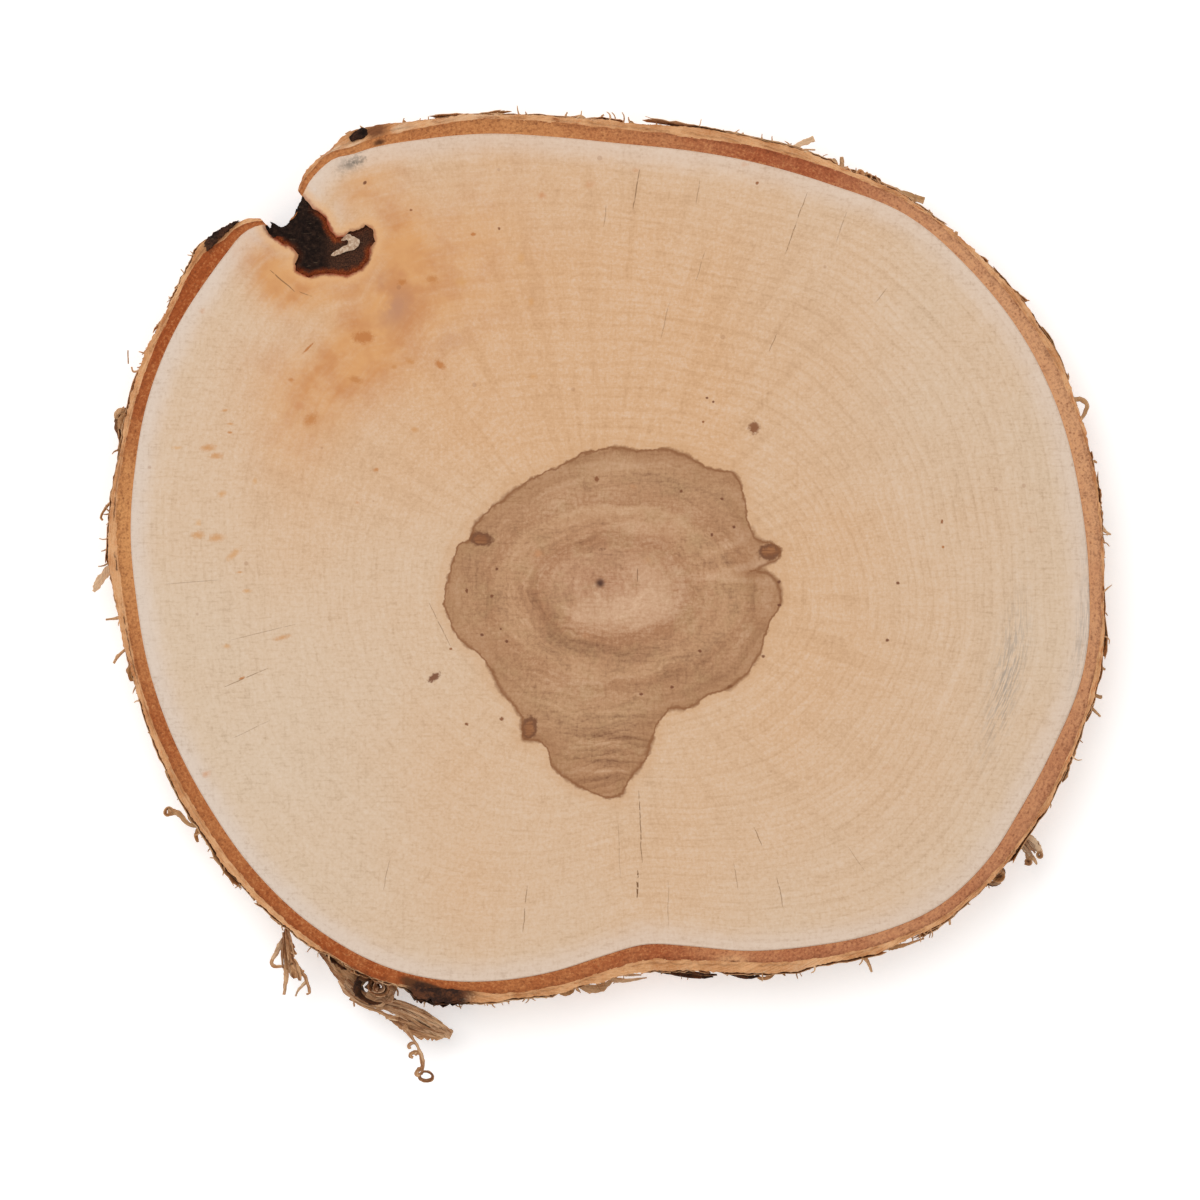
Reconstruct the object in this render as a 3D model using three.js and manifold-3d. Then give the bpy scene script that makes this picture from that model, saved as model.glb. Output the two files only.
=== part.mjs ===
// A slice sawn across a birch trunk, with its bark on, lying on its lower cut face.
// It grew as one piece, so it is one solid: the wood, the inner and outer bark round it,
// the bark seam that grew into one side, and the strips of outer bark that have peeled away.
// Millimetres, +Z up. The origin is the pith, on the lower cut face.
import * as THREE from "three";
import { mergeVertices } from "three/addons/utils/BufferGeometryUtils.js";
import Module from "manifold-3d";

// Driving dimensions
const THICKNESS = 25; // between the two cut faces
const INNER_BARK_SHRINK = 0.4; // how far the inner bark has dried back below each cut face
const OUTER_BARK_SHRINK = 0.8; // the same for the outer bark
const SEAM_DEPTH = 3; // how far the rotten seam has crumbled away below each cut face
const EDGE_STEPS = 180; // points round each edge
const STRIP_STEPS = 14; // steps along each loose strip

// Edge of the wood: degrees round the pith from +X, and how far out.
const WOOD_EDGE = [
  [0, 122.3], [10, 122.0], [20, 122.5], [30, 122.4], [40, 121.3], [50, 119.8],
  [60, 115.1], [70, 112.0], [80, 110.2], [88, 110.1], [96, 112.2], [104, 115.8],
  [112, 119.6], [118, 123.0], [123, 124.6], [130, 124.9], [136, 124.9], [142, 124.2],
  [150, 123.5], [158, 122.0], [166, 119.8], [174, 118.0], [182, 116.0], [190, 114.9],
  [200, 113.6], [210, 112.6], [220, 112.4], [230, 111.8], [240, 110.1], [248, 107.0],
  [256, 102.4], [264, 97.3], [270, 93.5], [277, 91.1], [284, 93.6], [292, 99.2],
  [300, 104.9], [308, 111.3], [316, 116.8], [324, 119.1], [332, 119.4], [340, 120.6],
  [348, 122.6], [354, 122.9],
];
// Thickness of the inner bark: degrees, mm.
const INNER_BARK = [
  [0, 3.0], [12, 4.0], [30, 3.4], [50, 2.7], [60, 3.8], [80, 3.4], [105, 3.6],
  [114, 2.6], [122, 1.6], [135, 1.8], [141, 4.6], [148, 2.9], [160, 2.8], [170, 3.6],
  [185, 3.0], [210, 3.2], [232, 3.2], [241, 3.5], [250, 2.0], [258, 3.6], [280, 3.8],
  [290, 3.0], [300, 3.4], [320, 2.8], [333, 4.2], [341, 4.0], [350, 2.8],
];
// Thickness of the outer bark, with the lumps where it has grown thick.
const OUTER_BARK = [
  [0, 1.0], [20, 1.0], [28, 1.9], [36, 1.9], [44, 1.4], [60, 1.6], [70, 2.6],
  [80, 2.4], [90, 2.2], [100, 1.6], [110, 2.0], [118, 3.8], [123, 2.4], [134, 1.4],
  [138, 3.4], [142, 1.4], [150, 1.9], [166, 1.6], [180, 2.4], [190, 1.7], [210, 2.1],
  [230, 1.4], [240, 1.6], [248, 3.6], [253, 3.2], [258, 2.2], [272, 2.5], [288, 3.2],
  [300, 2.4], [318, 1.4], [340, 1.2], [350, 1.6],
];
// Mouth of the notch where the bark turns in, cut right through: x, y.
const NOTCH = [
  [-84.9, 91.2], [-82.5, 88.5], [-78.0, 89.3], [-75.5, 93.6], [-74.4, 95.5],
  [-75.6, 97.6], [-75.5, 99.8], [-74.2, 102.2], [-72.9, 104.4], [-74.0, 112.0],
  [-100.0, 100.0], [-88.8, 91.9], [-86.6, 92.1],
];
// Rotten seam that runs in from the notch and hooks round in the wood: x, y.
const SEAM = [
  [-83.6, 88.7], [-82.1, 86.5], [-79.5, 84.9], [-76.7, 83.7], [-75.4, 81.9],
  [-76.4, 79.8], [-75.9, 78.3], [-72.9, 76.5], [-69.8, 77.5], [-66.8, 77.5],
  [-63.2, 77.0], [-59.6, 78.6], [-57.8, 80.9], [-57.6, 83.4], [-56.3, 85.5],
  [-56.8, 88.5], [-58.6, 89.5], [-60.1, 88.3], [-62.7, 87.8], [-64.2, 86.5],
  [-66.0, 86.3], [-67.5, 88.3], [-68.5, 91.1], [-69.8, 92.3], [-71.8, 93.1],
  [-73.4, 95.2], [-74.6, 95.4], [-77.0, 90.0],
];
// Strips of outer bark that have peeled off and stay joined at one end. Each has the
// points it runs through, from inside the bark outwards, its height and its thickness.
const LOOSE_STRIPS = [
  {
    height: 9,
    thick: 0.9,
    line: [[-76, -83, 11], [-79.2, -87, 11], [-79.5, -92, 11], [-78.6, -98, 11], [-76.5, -103, 12]],
  },
  {
    height: 12,
    thick: 1.0,
    line: [[-66, -88, 12], [-69, -93.5, 12], [-64, -101, 12], [-55, -106.5, 12], [-38, -113, 12]],
  },
  {
    height: 3,
    thick: 1.2,
    line: [[-55, -106.4, 14], [-49.5, -112, 14], [-45, -117, 14], [-44.5, -121.5, 14], [-43, -124.5, 14]],
  },
  { height: 6, thick: 1.0, line: [[-98, -60, 10], [-102, -62, 10], [-106.5, -60, 10], [-108.5, -58, 10]] },
  { height: 6, thick: 0.9, line: [[-119, 8, 15], [-123.5, 4, 15], [-126.4, 0.5, 15], [-127.6, -2.4, 15]] },
  { height: 14, thick: 2.4, line: [[-116, 44, 12], [-120.5, 40, 12], [-120.4, 36, 12]] },
  { height: 5, thick: 0.9, line: [[66, -89, 12], [71.5, -94, 12], [72.8, -98.5, 12]] },
  { height: 6, thick: 1.6, line: [[102, -62, 13], [107.5, -66.5, 13], [110, -69, 13]] },
  { height: 6, thick: 0.9, line: [[116, 49, 14], [120, 46, 14], [122.3, 43.4, 14], [121.6, 40, 14]] },
  { height: 7, thick: 1.0, line: [[66, 99, 15], [75, 98.5, 15], [81, 96.6, 15]] },
  { height: 5, thick: 1.0, line: [[43, 106, 16], [48, 109.8, 16], [53.6, 112, 16]] },
];

const wasm = await Module();
wasm.setup();

// Closed smooth curve through (degrees, value) pairs, read off at any angle.
function roundTrip(pairs) {
  const turns = pairs.map(([degrees]) => degrees);
  return (degrees) => {
    const at = ((degrees % 360) + 360) % 360;
    const next = turns.findIndex((t) => t > at);
    const i = next === -1 ? pairs.length - 1 : (next + pairs.length - 1) % pairs.length;
    const four = [-1, 0, 1, 2].map((k) => pairs[(i + k + pairs.length) % pairs.length]);
    const span = (four[2][0] - four[1][0] + 360) % 360 || 360;
    const share = ((at - four[1][0] + 360) % 360) / span;
    const slopeIn = (four[2][1] - four[0][1]) / (((four[2][0] - four[0][0] + 360) % 360) || 360);
    const slopeOut = (four[3][1] - four[1][1]) / (((four[3][0] - four[1][0] + 360) % 360) || 360);
    const [s2, s3] = [share ** 2, share ** 3];
    return (
      (2 * s3 - 3 * s2 + 1) * four[1][1] +
      (s3 - 2 * s2 + share) * span * slopeIn +
      (3 * s2 - 2 * s3) * four[2][1] +
      (s3 - s2) * span * slopeOut
    );
  };
}

// Outline whose distance from the pith is radius(degrees).
function edgeShape(radius) {
  const points = [];
  for (let i = 0; i < EDGE_STEPS; i++) {
    const degrees = (360 * i) / EDGE_STEPS;
    const turn = THREE.MathUtils.degToRad(degrees);
    const out = radius(degrees);
    points.push(new THREE.Vector2(out * Math.cos(turn), out * Math.sin(turn)));
  }
  return new THREE.Shape(points);
}

function polygon(points) {
  return new THREE.Shape(points.map(([x, y]) => new THREE.Vector2(x, y)));
}

// A closed geometry as a manifold-3d solid.
function solid(geometry) {
  const bare = geometry.index ? geometry.toNonIndexed() : geometry.clone();
  for (const name of Object.keys(bare.attributes)) {
    if (name !== "position") bare.deleteAttribute(name);
  }
  const merged = mergeVertices(bare, 1e-4);
  return new wasm.Manifold(
    new wasm.Mesh({
      numProp: 3,
      vertProperties: new Float32Array(merged.attributes.position.array),
      triVerts: new Uint32Array(merged.index.array),
    }),
  );
}

// Upright slab of a shape between two heights.
function slab(shape, low, high) {
  const geometry = new THREE.ExtrudeGeometry(shape, { depth: high - low, bevelEnabled: false });
  geometry.translate(0, 0, low);
  return solid(geometry);
}

// A strip of bark standing on edge along a smooth line.
function looseStrip({ line, height, thick }) {
  const section = new THREE.Shape();
  section.moveTo(-height / 2, -thick / 2);
  section.lineTo(height / 2, -thick / 2);
  section.lineTo(height / 2, thick / 2);
  section.lineTo(-height / 2, thick / 2);
  section.closePath();
  const path = new THREE.CatmullRomCurve3(line.map((p) => new THREE.Vector3(...p)));
  return solid(
    new THREE.ExtrudeGeometry(section, { extrudePath: path, steps: STRIP_STEPS, bevelEnabled: false }),
  );
}

function buildSlice() {
  const wood = roundTrip(WOOD_EDGE);
  const inner = roundTrip(INNER_BARK);
  const outer = roundTrip(OUTER_BARK);
  const underBark = (degrees) => wood(degrees) + inner(degrees);
  const outside = (degrees) => underBark(degrees) + outer(degrees);

  let slice = slab(edgeShape(wood), 0, THICKNESS);
  slice = slice.add(slab(edgeShape(underBark), INNER_BARK_SHRINK, THICKNESS - INNER_BARK_SHRINK));
  slice = slice.add(slab(edgeShape(outside), OUTER_BARK_SHRINK, THICKNESS - OUTER_BARK_SHRINK));
  slice = slice.subtract(slab(polygon(NOTCH), -1, THICKNESS + 1));
  const seam = polygon(SEAM);
  slice = slice.subtract(slab(seam, THICKNESS - SEAM_DEPTH, THICKNESS + 1));
  slice = slice.subtract(slab(seam, -1, SEAM_DEPTH));
  for (const strip of LOOSE_STRIPS) slice = slice.add(looseStrip(strip));
  return slice;
}

function toGeometry(made) {
  const { vertProperties, triVerts, numProp } = made.getMesh();
  const geometry = new THREE.BufferGeometry();
  const positions = new Float32Array((vertProperties.length / numProp) * 3);
  for (let i = 0; i < positions.length / 3; i++) {
    positions.set(vertProperties.subarray(i * numProp, i * numProp + 3), i * 3);
  }
  geometry.setAttribute("position", new THREE.BufferAttribute(positions, 3));
  geometry.setIndex(new THREE.BufferAttribute(new Uint32Array(triVerts), 1));
  geometry.computeVertexNormals();
  return geometry;
}

const freshWood = new THREE.MeshStandardMaterial({ color: 0xd6b596, roughness: 0.75, metalness: 0 });

const group = new THREE.Group();
const slice = new THREE.Mesh(toGeometry(buildSlice()), freshWood);
slice.name = "wood_slice";
group.add(slice);

export default group;
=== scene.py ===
"""A birch slice lying on a table: sapwood round a brown false heart, a rotten seam of bark
grown into one side, inner and outer bark, and papery bark peeling off all round."""

import math

import bpy
import numpy as np
from mathutils import Matrix, Vector, noise


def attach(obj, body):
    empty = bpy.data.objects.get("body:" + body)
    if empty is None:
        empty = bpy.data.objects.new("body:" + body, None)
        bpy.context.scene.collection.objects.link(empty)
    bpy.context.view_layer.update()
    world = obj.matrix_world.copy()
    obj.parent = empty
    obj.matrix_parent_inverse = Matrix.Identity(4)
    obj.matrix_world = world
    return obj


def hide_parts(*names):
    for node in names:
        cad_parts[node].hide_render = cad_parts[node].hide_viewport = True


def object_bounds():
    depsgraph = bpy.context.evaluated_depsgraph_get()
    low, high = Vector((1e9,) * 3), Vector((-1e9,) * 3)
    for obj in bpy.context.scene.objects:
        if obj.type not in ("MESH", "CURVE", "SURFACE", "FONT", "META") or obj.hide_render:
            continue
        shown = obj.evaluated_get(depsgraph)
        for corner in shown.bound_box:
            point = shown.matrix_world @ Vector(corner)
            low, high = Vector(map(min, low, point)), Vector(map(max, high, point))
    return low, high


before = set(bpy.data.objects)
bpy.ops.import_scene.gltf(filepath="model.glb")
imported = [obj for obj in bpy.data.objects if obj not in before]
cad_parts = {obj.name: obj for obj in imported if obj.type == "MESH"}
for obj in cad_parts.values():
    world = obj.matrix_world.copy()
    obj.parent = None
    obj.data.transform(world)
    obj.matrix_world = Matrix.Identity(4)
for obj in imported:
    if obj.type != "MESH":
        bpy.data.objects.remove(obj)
cad_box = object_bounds()
noise.seed_set(3)  # vector noise would start from the clock otherwise

MM = 0.001
TAU = math.tau
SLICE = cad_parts["wood_slice"]
TOP = cad_box[1].z / MM
MEAN_REACH = 115.0
RIM_STEPS = 180
INNER_BARK_TOP = TOP - 0.4
OUTER_BARK_TOP = TOP - 0.8


# ---------------------------------------------------------------- the trunk's outline
# Round the notch the bark thins and turns in at both lips: degrees, and how far out the
# wood, the inner bark and the outer bark reach there.
NOTCH_LIPS = [
    (122, 125.2, 126.9, 127.9), (124, 124.9, 126.4, 127.4), (126, 123.8, 125.2, 126.3),
    (128, 121.6, 122.8, 123.4), (130, 119.5, 120.2, 120.7), (132, 121.2, 122.0, 122.6),
    (134, 124.0, 125.4, 126.6), (136, 125.0, 127.0, 128.5), (138, 124.7, 127.4, 129.9),
]


def reach_at_height(height, layer):
    """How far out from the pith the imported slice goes, every two degrees, at one height in mm."""
    reach = np.zeros(RIM_STEPS)
    for vertex in SLICE.data.vertices:
        x, y, z = vertex.co / MM
        turn = math.degrees(math.atan2(y, x)) % 360
        step = round(turn / 2)
        if abs(z - height) < 0.05 and abs(turn - 2 * step) < 0.2:
            reach[step % RIM_STEPS] = max(reach[step % RIM_STEPS], math.hypot(x, y))
    for lip in NOTCH_LIPS:
        reach[lip[0] // 2] = lip[layer]
    return reach


def smooth_reach(reach, turns):
    """A table of reaches read off at any turn in radians, on a smooth closed curve."""
    place = (turns % TAU) / TAU * RIM_STEPS
    step = np.floor(place).astype(int)
    share = place - step
    before, here, there, after = (reach[(step + k) % RIM_STEPS] for k in (-1, 0, 1, 2))
    return 0.5 * (
        2 * here
        + (there - before) * share
        + (2 * before - 5 * here + 4 * there - after) * share**2
        + (3 * here - before - 3 * there + after) * share**3
    )


WOOD_REACH = reach_at_height(TOP, 1)
INNER_REACH = reach_at_height(INNER_BARK_TOP, 2)
OUTER_REACH = reach_at_height(OUTER_BARK_TOP, 3)
# behind the roll of bark at the lower left, from 234 to 244 degrees, the outer bark has peeled away
OUTER_REACH[117:123] = INNER_REACH[117:123] + 0.4


def soft_step(value, low, high):
    share = np.clip((value - low) / (high - low), 0, 1)
    return share * share * (3 - 2 * share)


def core_reach(turns):
    """The young tree's rings were ovals, a little to the right of the pith and below it."""
    wide, tall, right, down = 1.19, 0.82, 0.177, 0.10
    along, up = np.cos(turns) / wide, np.sin(turns) / tall
    a = along**2 + up**2
    b = along * right / wide - up * down / tall
    c = (right / wide) ** 2 + (down / tall) ** 2 - 1
    return (b + np.sqrt(b * b - a * c)) / a


def ring_reach(turns, growth):
    """Where a growth ring runs: growth is its mean distance from the pith in mm."""
    grown = soft_step(growth / MEAN_REACH, 0.12, 0.8)
    outline = smooth_reach(WOOD_REACH, turns) / MEAN_REACH
    return growth * (core_reach(turns) * (1 - grown) + outline * grown)


def growth_at(x, y):
    """The growth ring that a point lies on, found by halving."""
    turns, reach = np.arctan2(y, x), np.hypot(x, y)
    low, high = np.zeros_like(reach), np.full_like(reach, MEAN_REACH * 1.3)
    for _ in range(24):
        middle = (low + high) / 2
        short = ring_reach(turns, middle) < reach
        low, high = np.where(short, middle, low), np.where(short, high, middle)
    return (low + high) / 2


def rounded_outline(corners, cuts=4):
    """A closed smooth curve through given corners."""
    corners = np.array(corners, float)
    shares = np.linspace(0, 1, cuts, endpoint=False)
    made = []
    for i in range(len(corners)):
        before, here, there, after = (corners[(i + k) % len(corners)] for k in (-1, 0, 1, 2))
        for s in shares:
            made.append(
                0.5
                * (
                    2 * here
                    + (there - before) * s
                    + (2 * before - 5 * here + 4 * there - after) * s**2
                    + (3 * here - before - 3 * there + after) * s**3
                )
            )
    return np.array(made)


def signed_distance(x, y, outline):
    """Distance in mm to a closed outline, below zero inside it."""
    nearest = np.full(x.shape, 1e9)
    inside = np.zeros(x.shape, bool)
    for (ax, ay), (bx, by) in zip(outline, np.roll(outline, -1, 0)):
        ex, ey = bx - ax, by - ay
        share = np.clip(((x - ax) * ex + (y - ay) * ey) / (ex * ex + ey * ey + 1e-12), 0, 1)
        nearest = np.minimum(nearest, np.hypot(x - ax - share * ex, y - ay - share * ey))
        if ay != by:
            crosses = (ay > y) != (by > y)
            inside ^= crosses & (x < (y - ay) * ex / ey + ax)
    return np.where(inside, -nearest, nearest)


FALSE_HEART = [
    (2.8, 33.8), (10.5, 33.5), (16.0, 33.6), (22.0, 31.8), (27.0, 28.6), (33.1, 27.8),
    (35.3, 24.3), (36.6, 17.8), (38.5, 12.0), (44.3, 9.5), (45.3, 7.5), (44.3, 6.0),
    (41.0, 4.2), (37.6, 2.9), (42.0, 3.1), (44.6, 0.2), (45.3, -5.3), (42.4, -9.6),
    (40.8, -15.4), (38.0, -21.0), (34.0, -25.5), (27.0, -28.1), (22.5, -31.4),
    (17.5, -31.6), (14.3, -35.3), (12.8, -40.3), (11.1, -44.8), (7.3, -49.3),
    (5.4, -53.3), (2.3, -53.6), (-3.5, -51.8), (-9.3, -48.5), (-12.8, -44.8),
    (-13.1, -41.5), (-15.8, -39.2), (-19.4, -39.2), (-19.7, -34.0), (-23.3, -28.8),
    (-26.5, -23.8), (-29.8, -18.5), (-35.5, -13.5), (-38.6, -6.5), (-39.0, -3.3),
    (-37.3, 4.5), (-35.5, 9.5), (-32.9, 11.2), (-31.0, 15.3), (-24.5, 21.0),
    (-18.3, 25.5), (-10.5, 29.3), (-4.3, 32.5),
]
ROTTEN_SEAM = [
    (-84.4, 90.2), (-83.5, 88.5), (-82.0, 86.6), (-79.5, 85.1), (-76.8, 83.9),
    (-75.4, 81.9), (-76.4, 79.8), (-76.0, 78.2), (-72.9, 76.4), (-69.8, 77.4),
    (-66.8, 77.4), (-63.2, 76.9), (-59.6, 78.6), (-57.8, 80.8), (-57.6, 83.4),
    (-56.3, 85.5), (-56.8, 88.5), (-58.6, 89.5), (-60.1, 88.3), (-62.7, 87.8),
    (-64.2, 86.6), (-66.0, 86.4), (-67.5, 88.3), (-68.5, 91.1), (-69.8, 92.5),
    (-71.8, 93.6), (-73.2, 95.4), (-74.4, 97.0),
]
NOTCH_MOUTH = [
    (-73.9, 96.2), (-75.2, 98.0), (-78.0, 102.0), (-84.0, 118.0), (-100.0, 104.0),
    (-92.0, 97.6), (-86.8, 93.0), (-84.6, 90.6),
]
ROT_MOUTH_EDGE = [
    (-74.4, 97.0), (-74.9, 95.2), (-75.6, 94.2), (-76.2, 92.4), (-77.5, 90.9),
    (-78.1, 89.6), (-79.3, 89.0), (-80.6, 89.4), (-82.3, 90.6), (-81.7, 89.0),
    (-82.3, 88.6), (-83.3, 89.0), (-84.4, 90.2),
]

heart_outline = rounded_outline(FALSE_HEART, 3)
seam_outline = np.array(ROTTEN_SEAM + [(-80.0, 96.0)])


# ---------------------------------------------------------------- modelling helpers
def edit_on():
    bpy.ops.object.mode_set(mode="EDIT")
    bpy.ops.mesh.select_all(action="SELECT")


def edit_off():
    bpy.ops.object.mode_set(mode="OBJECT")


def only(piece):
    bpy.ops.object.select_all(action="DESELECT")
    piece.select_set(True)
    bpy.context.view_layer.objects.active = piece


def places(piece):
    flat = np.zeros(len(piece.data.vertices) * 3)
    piece.data.vertices.foreach_get("co", flat)
    return flat.reshape(-1, 3) / MM


def face_places(piece):
    flat = np.zeros(len(piece.data.polygons) * 3)
    piece.data.polygons.foreach_get("center", flat)
    return flat.reshape(-1, 3) / MM


def put(piece, points):
    piece.data.vertices.foreach_set("co", (np.asarray(points) * MM).ravel())
    piece.data.update()


def spin_profile(name, profile, steps):
    """A line of (out, up) points in mm, drawn by extruding a point and spun right round."""
    bpy.ops.object.select_all(action="DESELECT")
    bpy.ops.mesh.primitive_plane_add(size=MM)
    piece = bpy.context.active_object
    piece.name = name
    edit_on()
    bpy.ops.mesh.merge(type="CENTER")
    bpy.ops.transform.translate(value=(profile[0][0] * MM, 0, profile[0][1] * MM))
    for here, there in zip(profile, profile[1:]):
        step = ((there[0] - here[0]) * MM, 0, (there[1] - here[1]) * MM)
        bpy.ops.mesh.extrude_vertices_move(TRANSFORM_OT_translate={"value": step})
    bpy.ops.mesh.select_all(action="SELECT")
    bpy.ops.mesh.spin(steps=steps, angle=TAU, center=(0, 0, 0), axis=(0, 0, 1))
    bpy.ops.mesh.select_all(action="SELECT")
    bpy.ops.mesh.remove_doubles(threshold=1e-6)
    bpy.ops.mesh.normals_make_consistent(inside=False)
    edit_off()
    return piece


def prism(name, outline, low, high):
    """An upright block with a given outline: a filled circle whose rim is moved, then extruded."""
    bpy.ops.object.select_all(action="DESELECT")
    bpy.ops.mesh.primitive_circle_add(vertices=len(outline), radius=MM, fill_type="NGON")
    piece = bpy.context.active_object
    piece.name = name
    put(piece, [(x, y, low) for x, y in outline])
    edit_on()
    lift = {"value": (0, 0, (high - low) * MM)}
    bpy.ops.mesh.extrude_region_move(TRANSFORM_OT_translate=lift)
    bpy.ops.mesh.select_all(action="SELECT")
    bpy.ops.mesh.normals_make_consistent(inside=False)
    edit_off()
    return piece


def cut_away(piece, cutter):
    only(piece)
    cut = piece.modifiers.new("cut", "BOOLEAN")
    cut.operation = "DIFFERENCE"
    cut.solver = "EXACT"
    cut.object = cutter
    bpy.ops.object.modifier_apply(modifier="cut")


def throw_away(piece):
    bpy.data.meshes.remove(piece.data)


def crumbled(outline, spacing, rough, seed):
    """An outline cut into short steps and roughened."""
    made = []
    outline = np.array(outline, float)
    for here, there in zip(outline, np.roll(outline, -1, 0)):
        count = max(1, round(math.dist(here, there) / spacing))
        for k in range(count):
            x, y = here + (there - here) * k / count
            push = noise.noise_vector(Vector((x * 1.1, y * 1.1, seed)))
            made.append((x + push.x * rough, y + push.y * rough))
    return made


def give(piece, name, values, kind="FLOAT", domain="POINT"):
    """Stores numbers on a piece's points or faces for its material to read."""
    attribute = piece.data.attributes.new(name, kind, domain)
    key = "value" if kind == "FLOAT" else "vector"
    attribute.data.foreach_set(key, np.asarray(values, np.float32).ravel())


def noise_over(points, scale, seed=0.0, octaves=3):
    """Fractal noise from about -1 to 1 at each point."""
    return np.array(
        [noise.fractal(Vector(p) * scale + Vector((seed, seed, 0)), 1.0, 2.0, octaves) for p in points]
    )


def finished(piece, material, angle=math.radians(40)):
    """Smooths, paints and hands a piece over to the frame."""
    only(piece)
    bpy.ops.object.shade_smooth_by_angle(angle=angle)
    piece.data.materials.clear()
    piece.data.materials.append(material)
    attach(piece, "root")
    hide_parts("wood_slice")


# ---------------------------------------------------------------- painting helpers
def paint(red, green, blue):
    """A colour as a paint chart gives it, 0 to 255, made linear."""
    parts = [c / 255 for c in (red, green, blue)]
    return tuple(c / 12.92 if c <= 0.04045 else ((c + 0.055) / 1.055) ** 2.4 for c in parts) + (1.0,)


class Wires:
    """Adds nodes to one material or group and joins them up."""

    def __init__(self, tree):
        self.tree = tree

    def add(self, kind, inputs=None, **settings):
        node = self.tree.nodes.new(kind)
        for key, value in settings.items():
            setattr(node, key, value)
        for key, value in (inputs or {}).items():
            self.feed(node.inputs[key], value)
        return node

    def feed(self, socket, value):
        if isinstance(value, bpy.types.NodeSocket):
            self.tree.links.new(value, socket)
        elif value is not None:
            socket.default_value = value

    def sum(self, kind, *terms):
        node = self.add("ShaderNodeMath", operation=kind)
        for socket, value in zip(node.inputs, terms):
            self.feed(socket, value)
        return node.outputs[0]

    def turn(self, kind, *terms):
        node = self.add("ShaderNodeVectorMath", operation=kind)
        for socket, value in zip(node.inputs, terms):
            self.feed(socket, value)
        return node.outputs[1 if kind in ("LENGTH", "DOT_PRODUCT", "DISTANCE") else 0]

    def scaled(self, vector, factor):
        node = self.add("ShaderNodeVectorMath", {"Vector": vector, "Scale": factor}, operation="SCALE")
        return node.outputs[0]

    def split(self, vector):
        return self.add("ShaderNodeSeparateXYZ", {0: vector}).outputs

    def joined(self, x=0.0, y=0.0, z=0.0):
        return self.add("ShaderNodeCombineXYZ", {0: x, 1: y, 2: z}).outputs[0]

    def noise(self, vector, scale, detail=2.0, rough=0.5, warp=0.0):
        wanted = {"Vector": vector, "Scale": scale, "Detail": detail, "Roughness": rough, "Distortion": warp}
        return self.add("ShaderNodeTexNoise", wanted).outputs["Fac"]

    def step(self, value, low, high, start=0.0, end=1.0):
        node = self.add("ShaderNodeMapRange", interpolation_type="SMOOTHSTEP")
        for key, number in (("Value", value), ("From Min", low), ("From Max", high)):
            self.feed(node.inputs[key], number)
        self.feed(node.inputs["To Min"], start)
        self.feed(node.inputs["To Max"], end)
        return node.outputs[0]

    def mix(self, share, under, over, blend="MIX"):
        node = self.add("ShaderNodeMix", data_type="RGBA", blend_type=blend, clamp_factor=True)
        self.feed(node.inputs["Factor"], share)
        self.feed(node.inputs["A"], under)
        self.feed(node.inputs["B"], over)
        return node.outputs["Result"]

    def ramp(self, value, stops):
        node = self.add("ShaderNodeValToRGB", {"Fac": value})
        parts = node.color_ramp.elements
        while len(parts) < len(stops):
            parts.new(0.5)
        for part, (place, colour) in zip(parts, stops):
            part.position = place
            part.color = colour
        return node.outputs["Color"]

    def read(self, name, output="Fac"):
        return self.add("ShaderNodeAttribute", attribute_name=name, attribute_type="GEOMETRY").outputs[output]

    def group(self, tree, **inputs):
        wanted = {key.replace("_", " "): value for key, value in inputs.items()}
        return self.add("ShaderNodeGroup", wanted, node_tree=tree).outputs


def new_group(name, inputs, outputs):
    tree = bpy.data.node_groups.new(name, "ShaderNodeTree")
    for title, kind, value in inputs:
        socket = tree.interface.new_socket(title, in_out="INPUT", socket_type=kind)
        if value is not None:
            socket.default_value = value
    for title, kind in outputs:
        tree.interface.new_socket(title, in_out="OUTPUT", socket_type=kind)
    wires = Wires(tree)
    return wires, wires.add("NodeGroupInput").outputs, wires.add("NodeGroupOutput").inputs


def place_in_mm():
    wires, _, out = new_group("place in mm", [], [("Place", "NodeSocketVector")])
    at = wires.add("ShaderNodeTexCoord").outputs["Object"]
    wires.feed(out["Place"], wires.scaled(at, 1000.0))
    return wires.tree


def round_the_pith():
    """Turns a place into a way out from the pith, which has no seam, and a reach."""
    wires, given, out = new_group(
        "round the pith",
        [("Place", "NodeSocketVector", None)],
        [("Way", "NodeSocketVector"), ("Reach", "NodeSocketFloat")],
    )
    flat = wires.turn("MULTIPLY", given["Place"], (1.0, 1.0, 0.0))
    wires.feed(out["Way"], wires.turn("NORMALIZE", flat))
    wires.feed(out["Reach"], wires.turn("LENGTH", flat))
    return wires.tree


def fibres():
    """Short threads that lie along one way: rays, rings, saw marks or bark fibres."""
    wires, given, out = new_group(
        "fibres",
        [
            ("Place", "NodeSocketVector", None),
            ("Pull", "NodeSocketVector", (1.0, 1.0, 1.0)),
            ("Detail", "NodeSocketFloat", 2.0),
            ("Thin", "NodeSocketFloat", 0.5),
            ("Thick", "NodeSocketFloat", 0.7),
        ],
        [("Mask", "NodeSocketFloat"), ("Tone", "NodeSocketFloat")],
    )
    pulled = wires.turn("MULTIPLY", given["Place"], given["Pull"])
    tone = wires.noise(pulled, 1.0, given["Detail"], 0.55)
    wires.feed(out["Tone"], tone)
    wires.feed(out["Mask"], wires.step(tone, given["Thin"], given["Thick"]))
    return wires.tree


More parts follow.
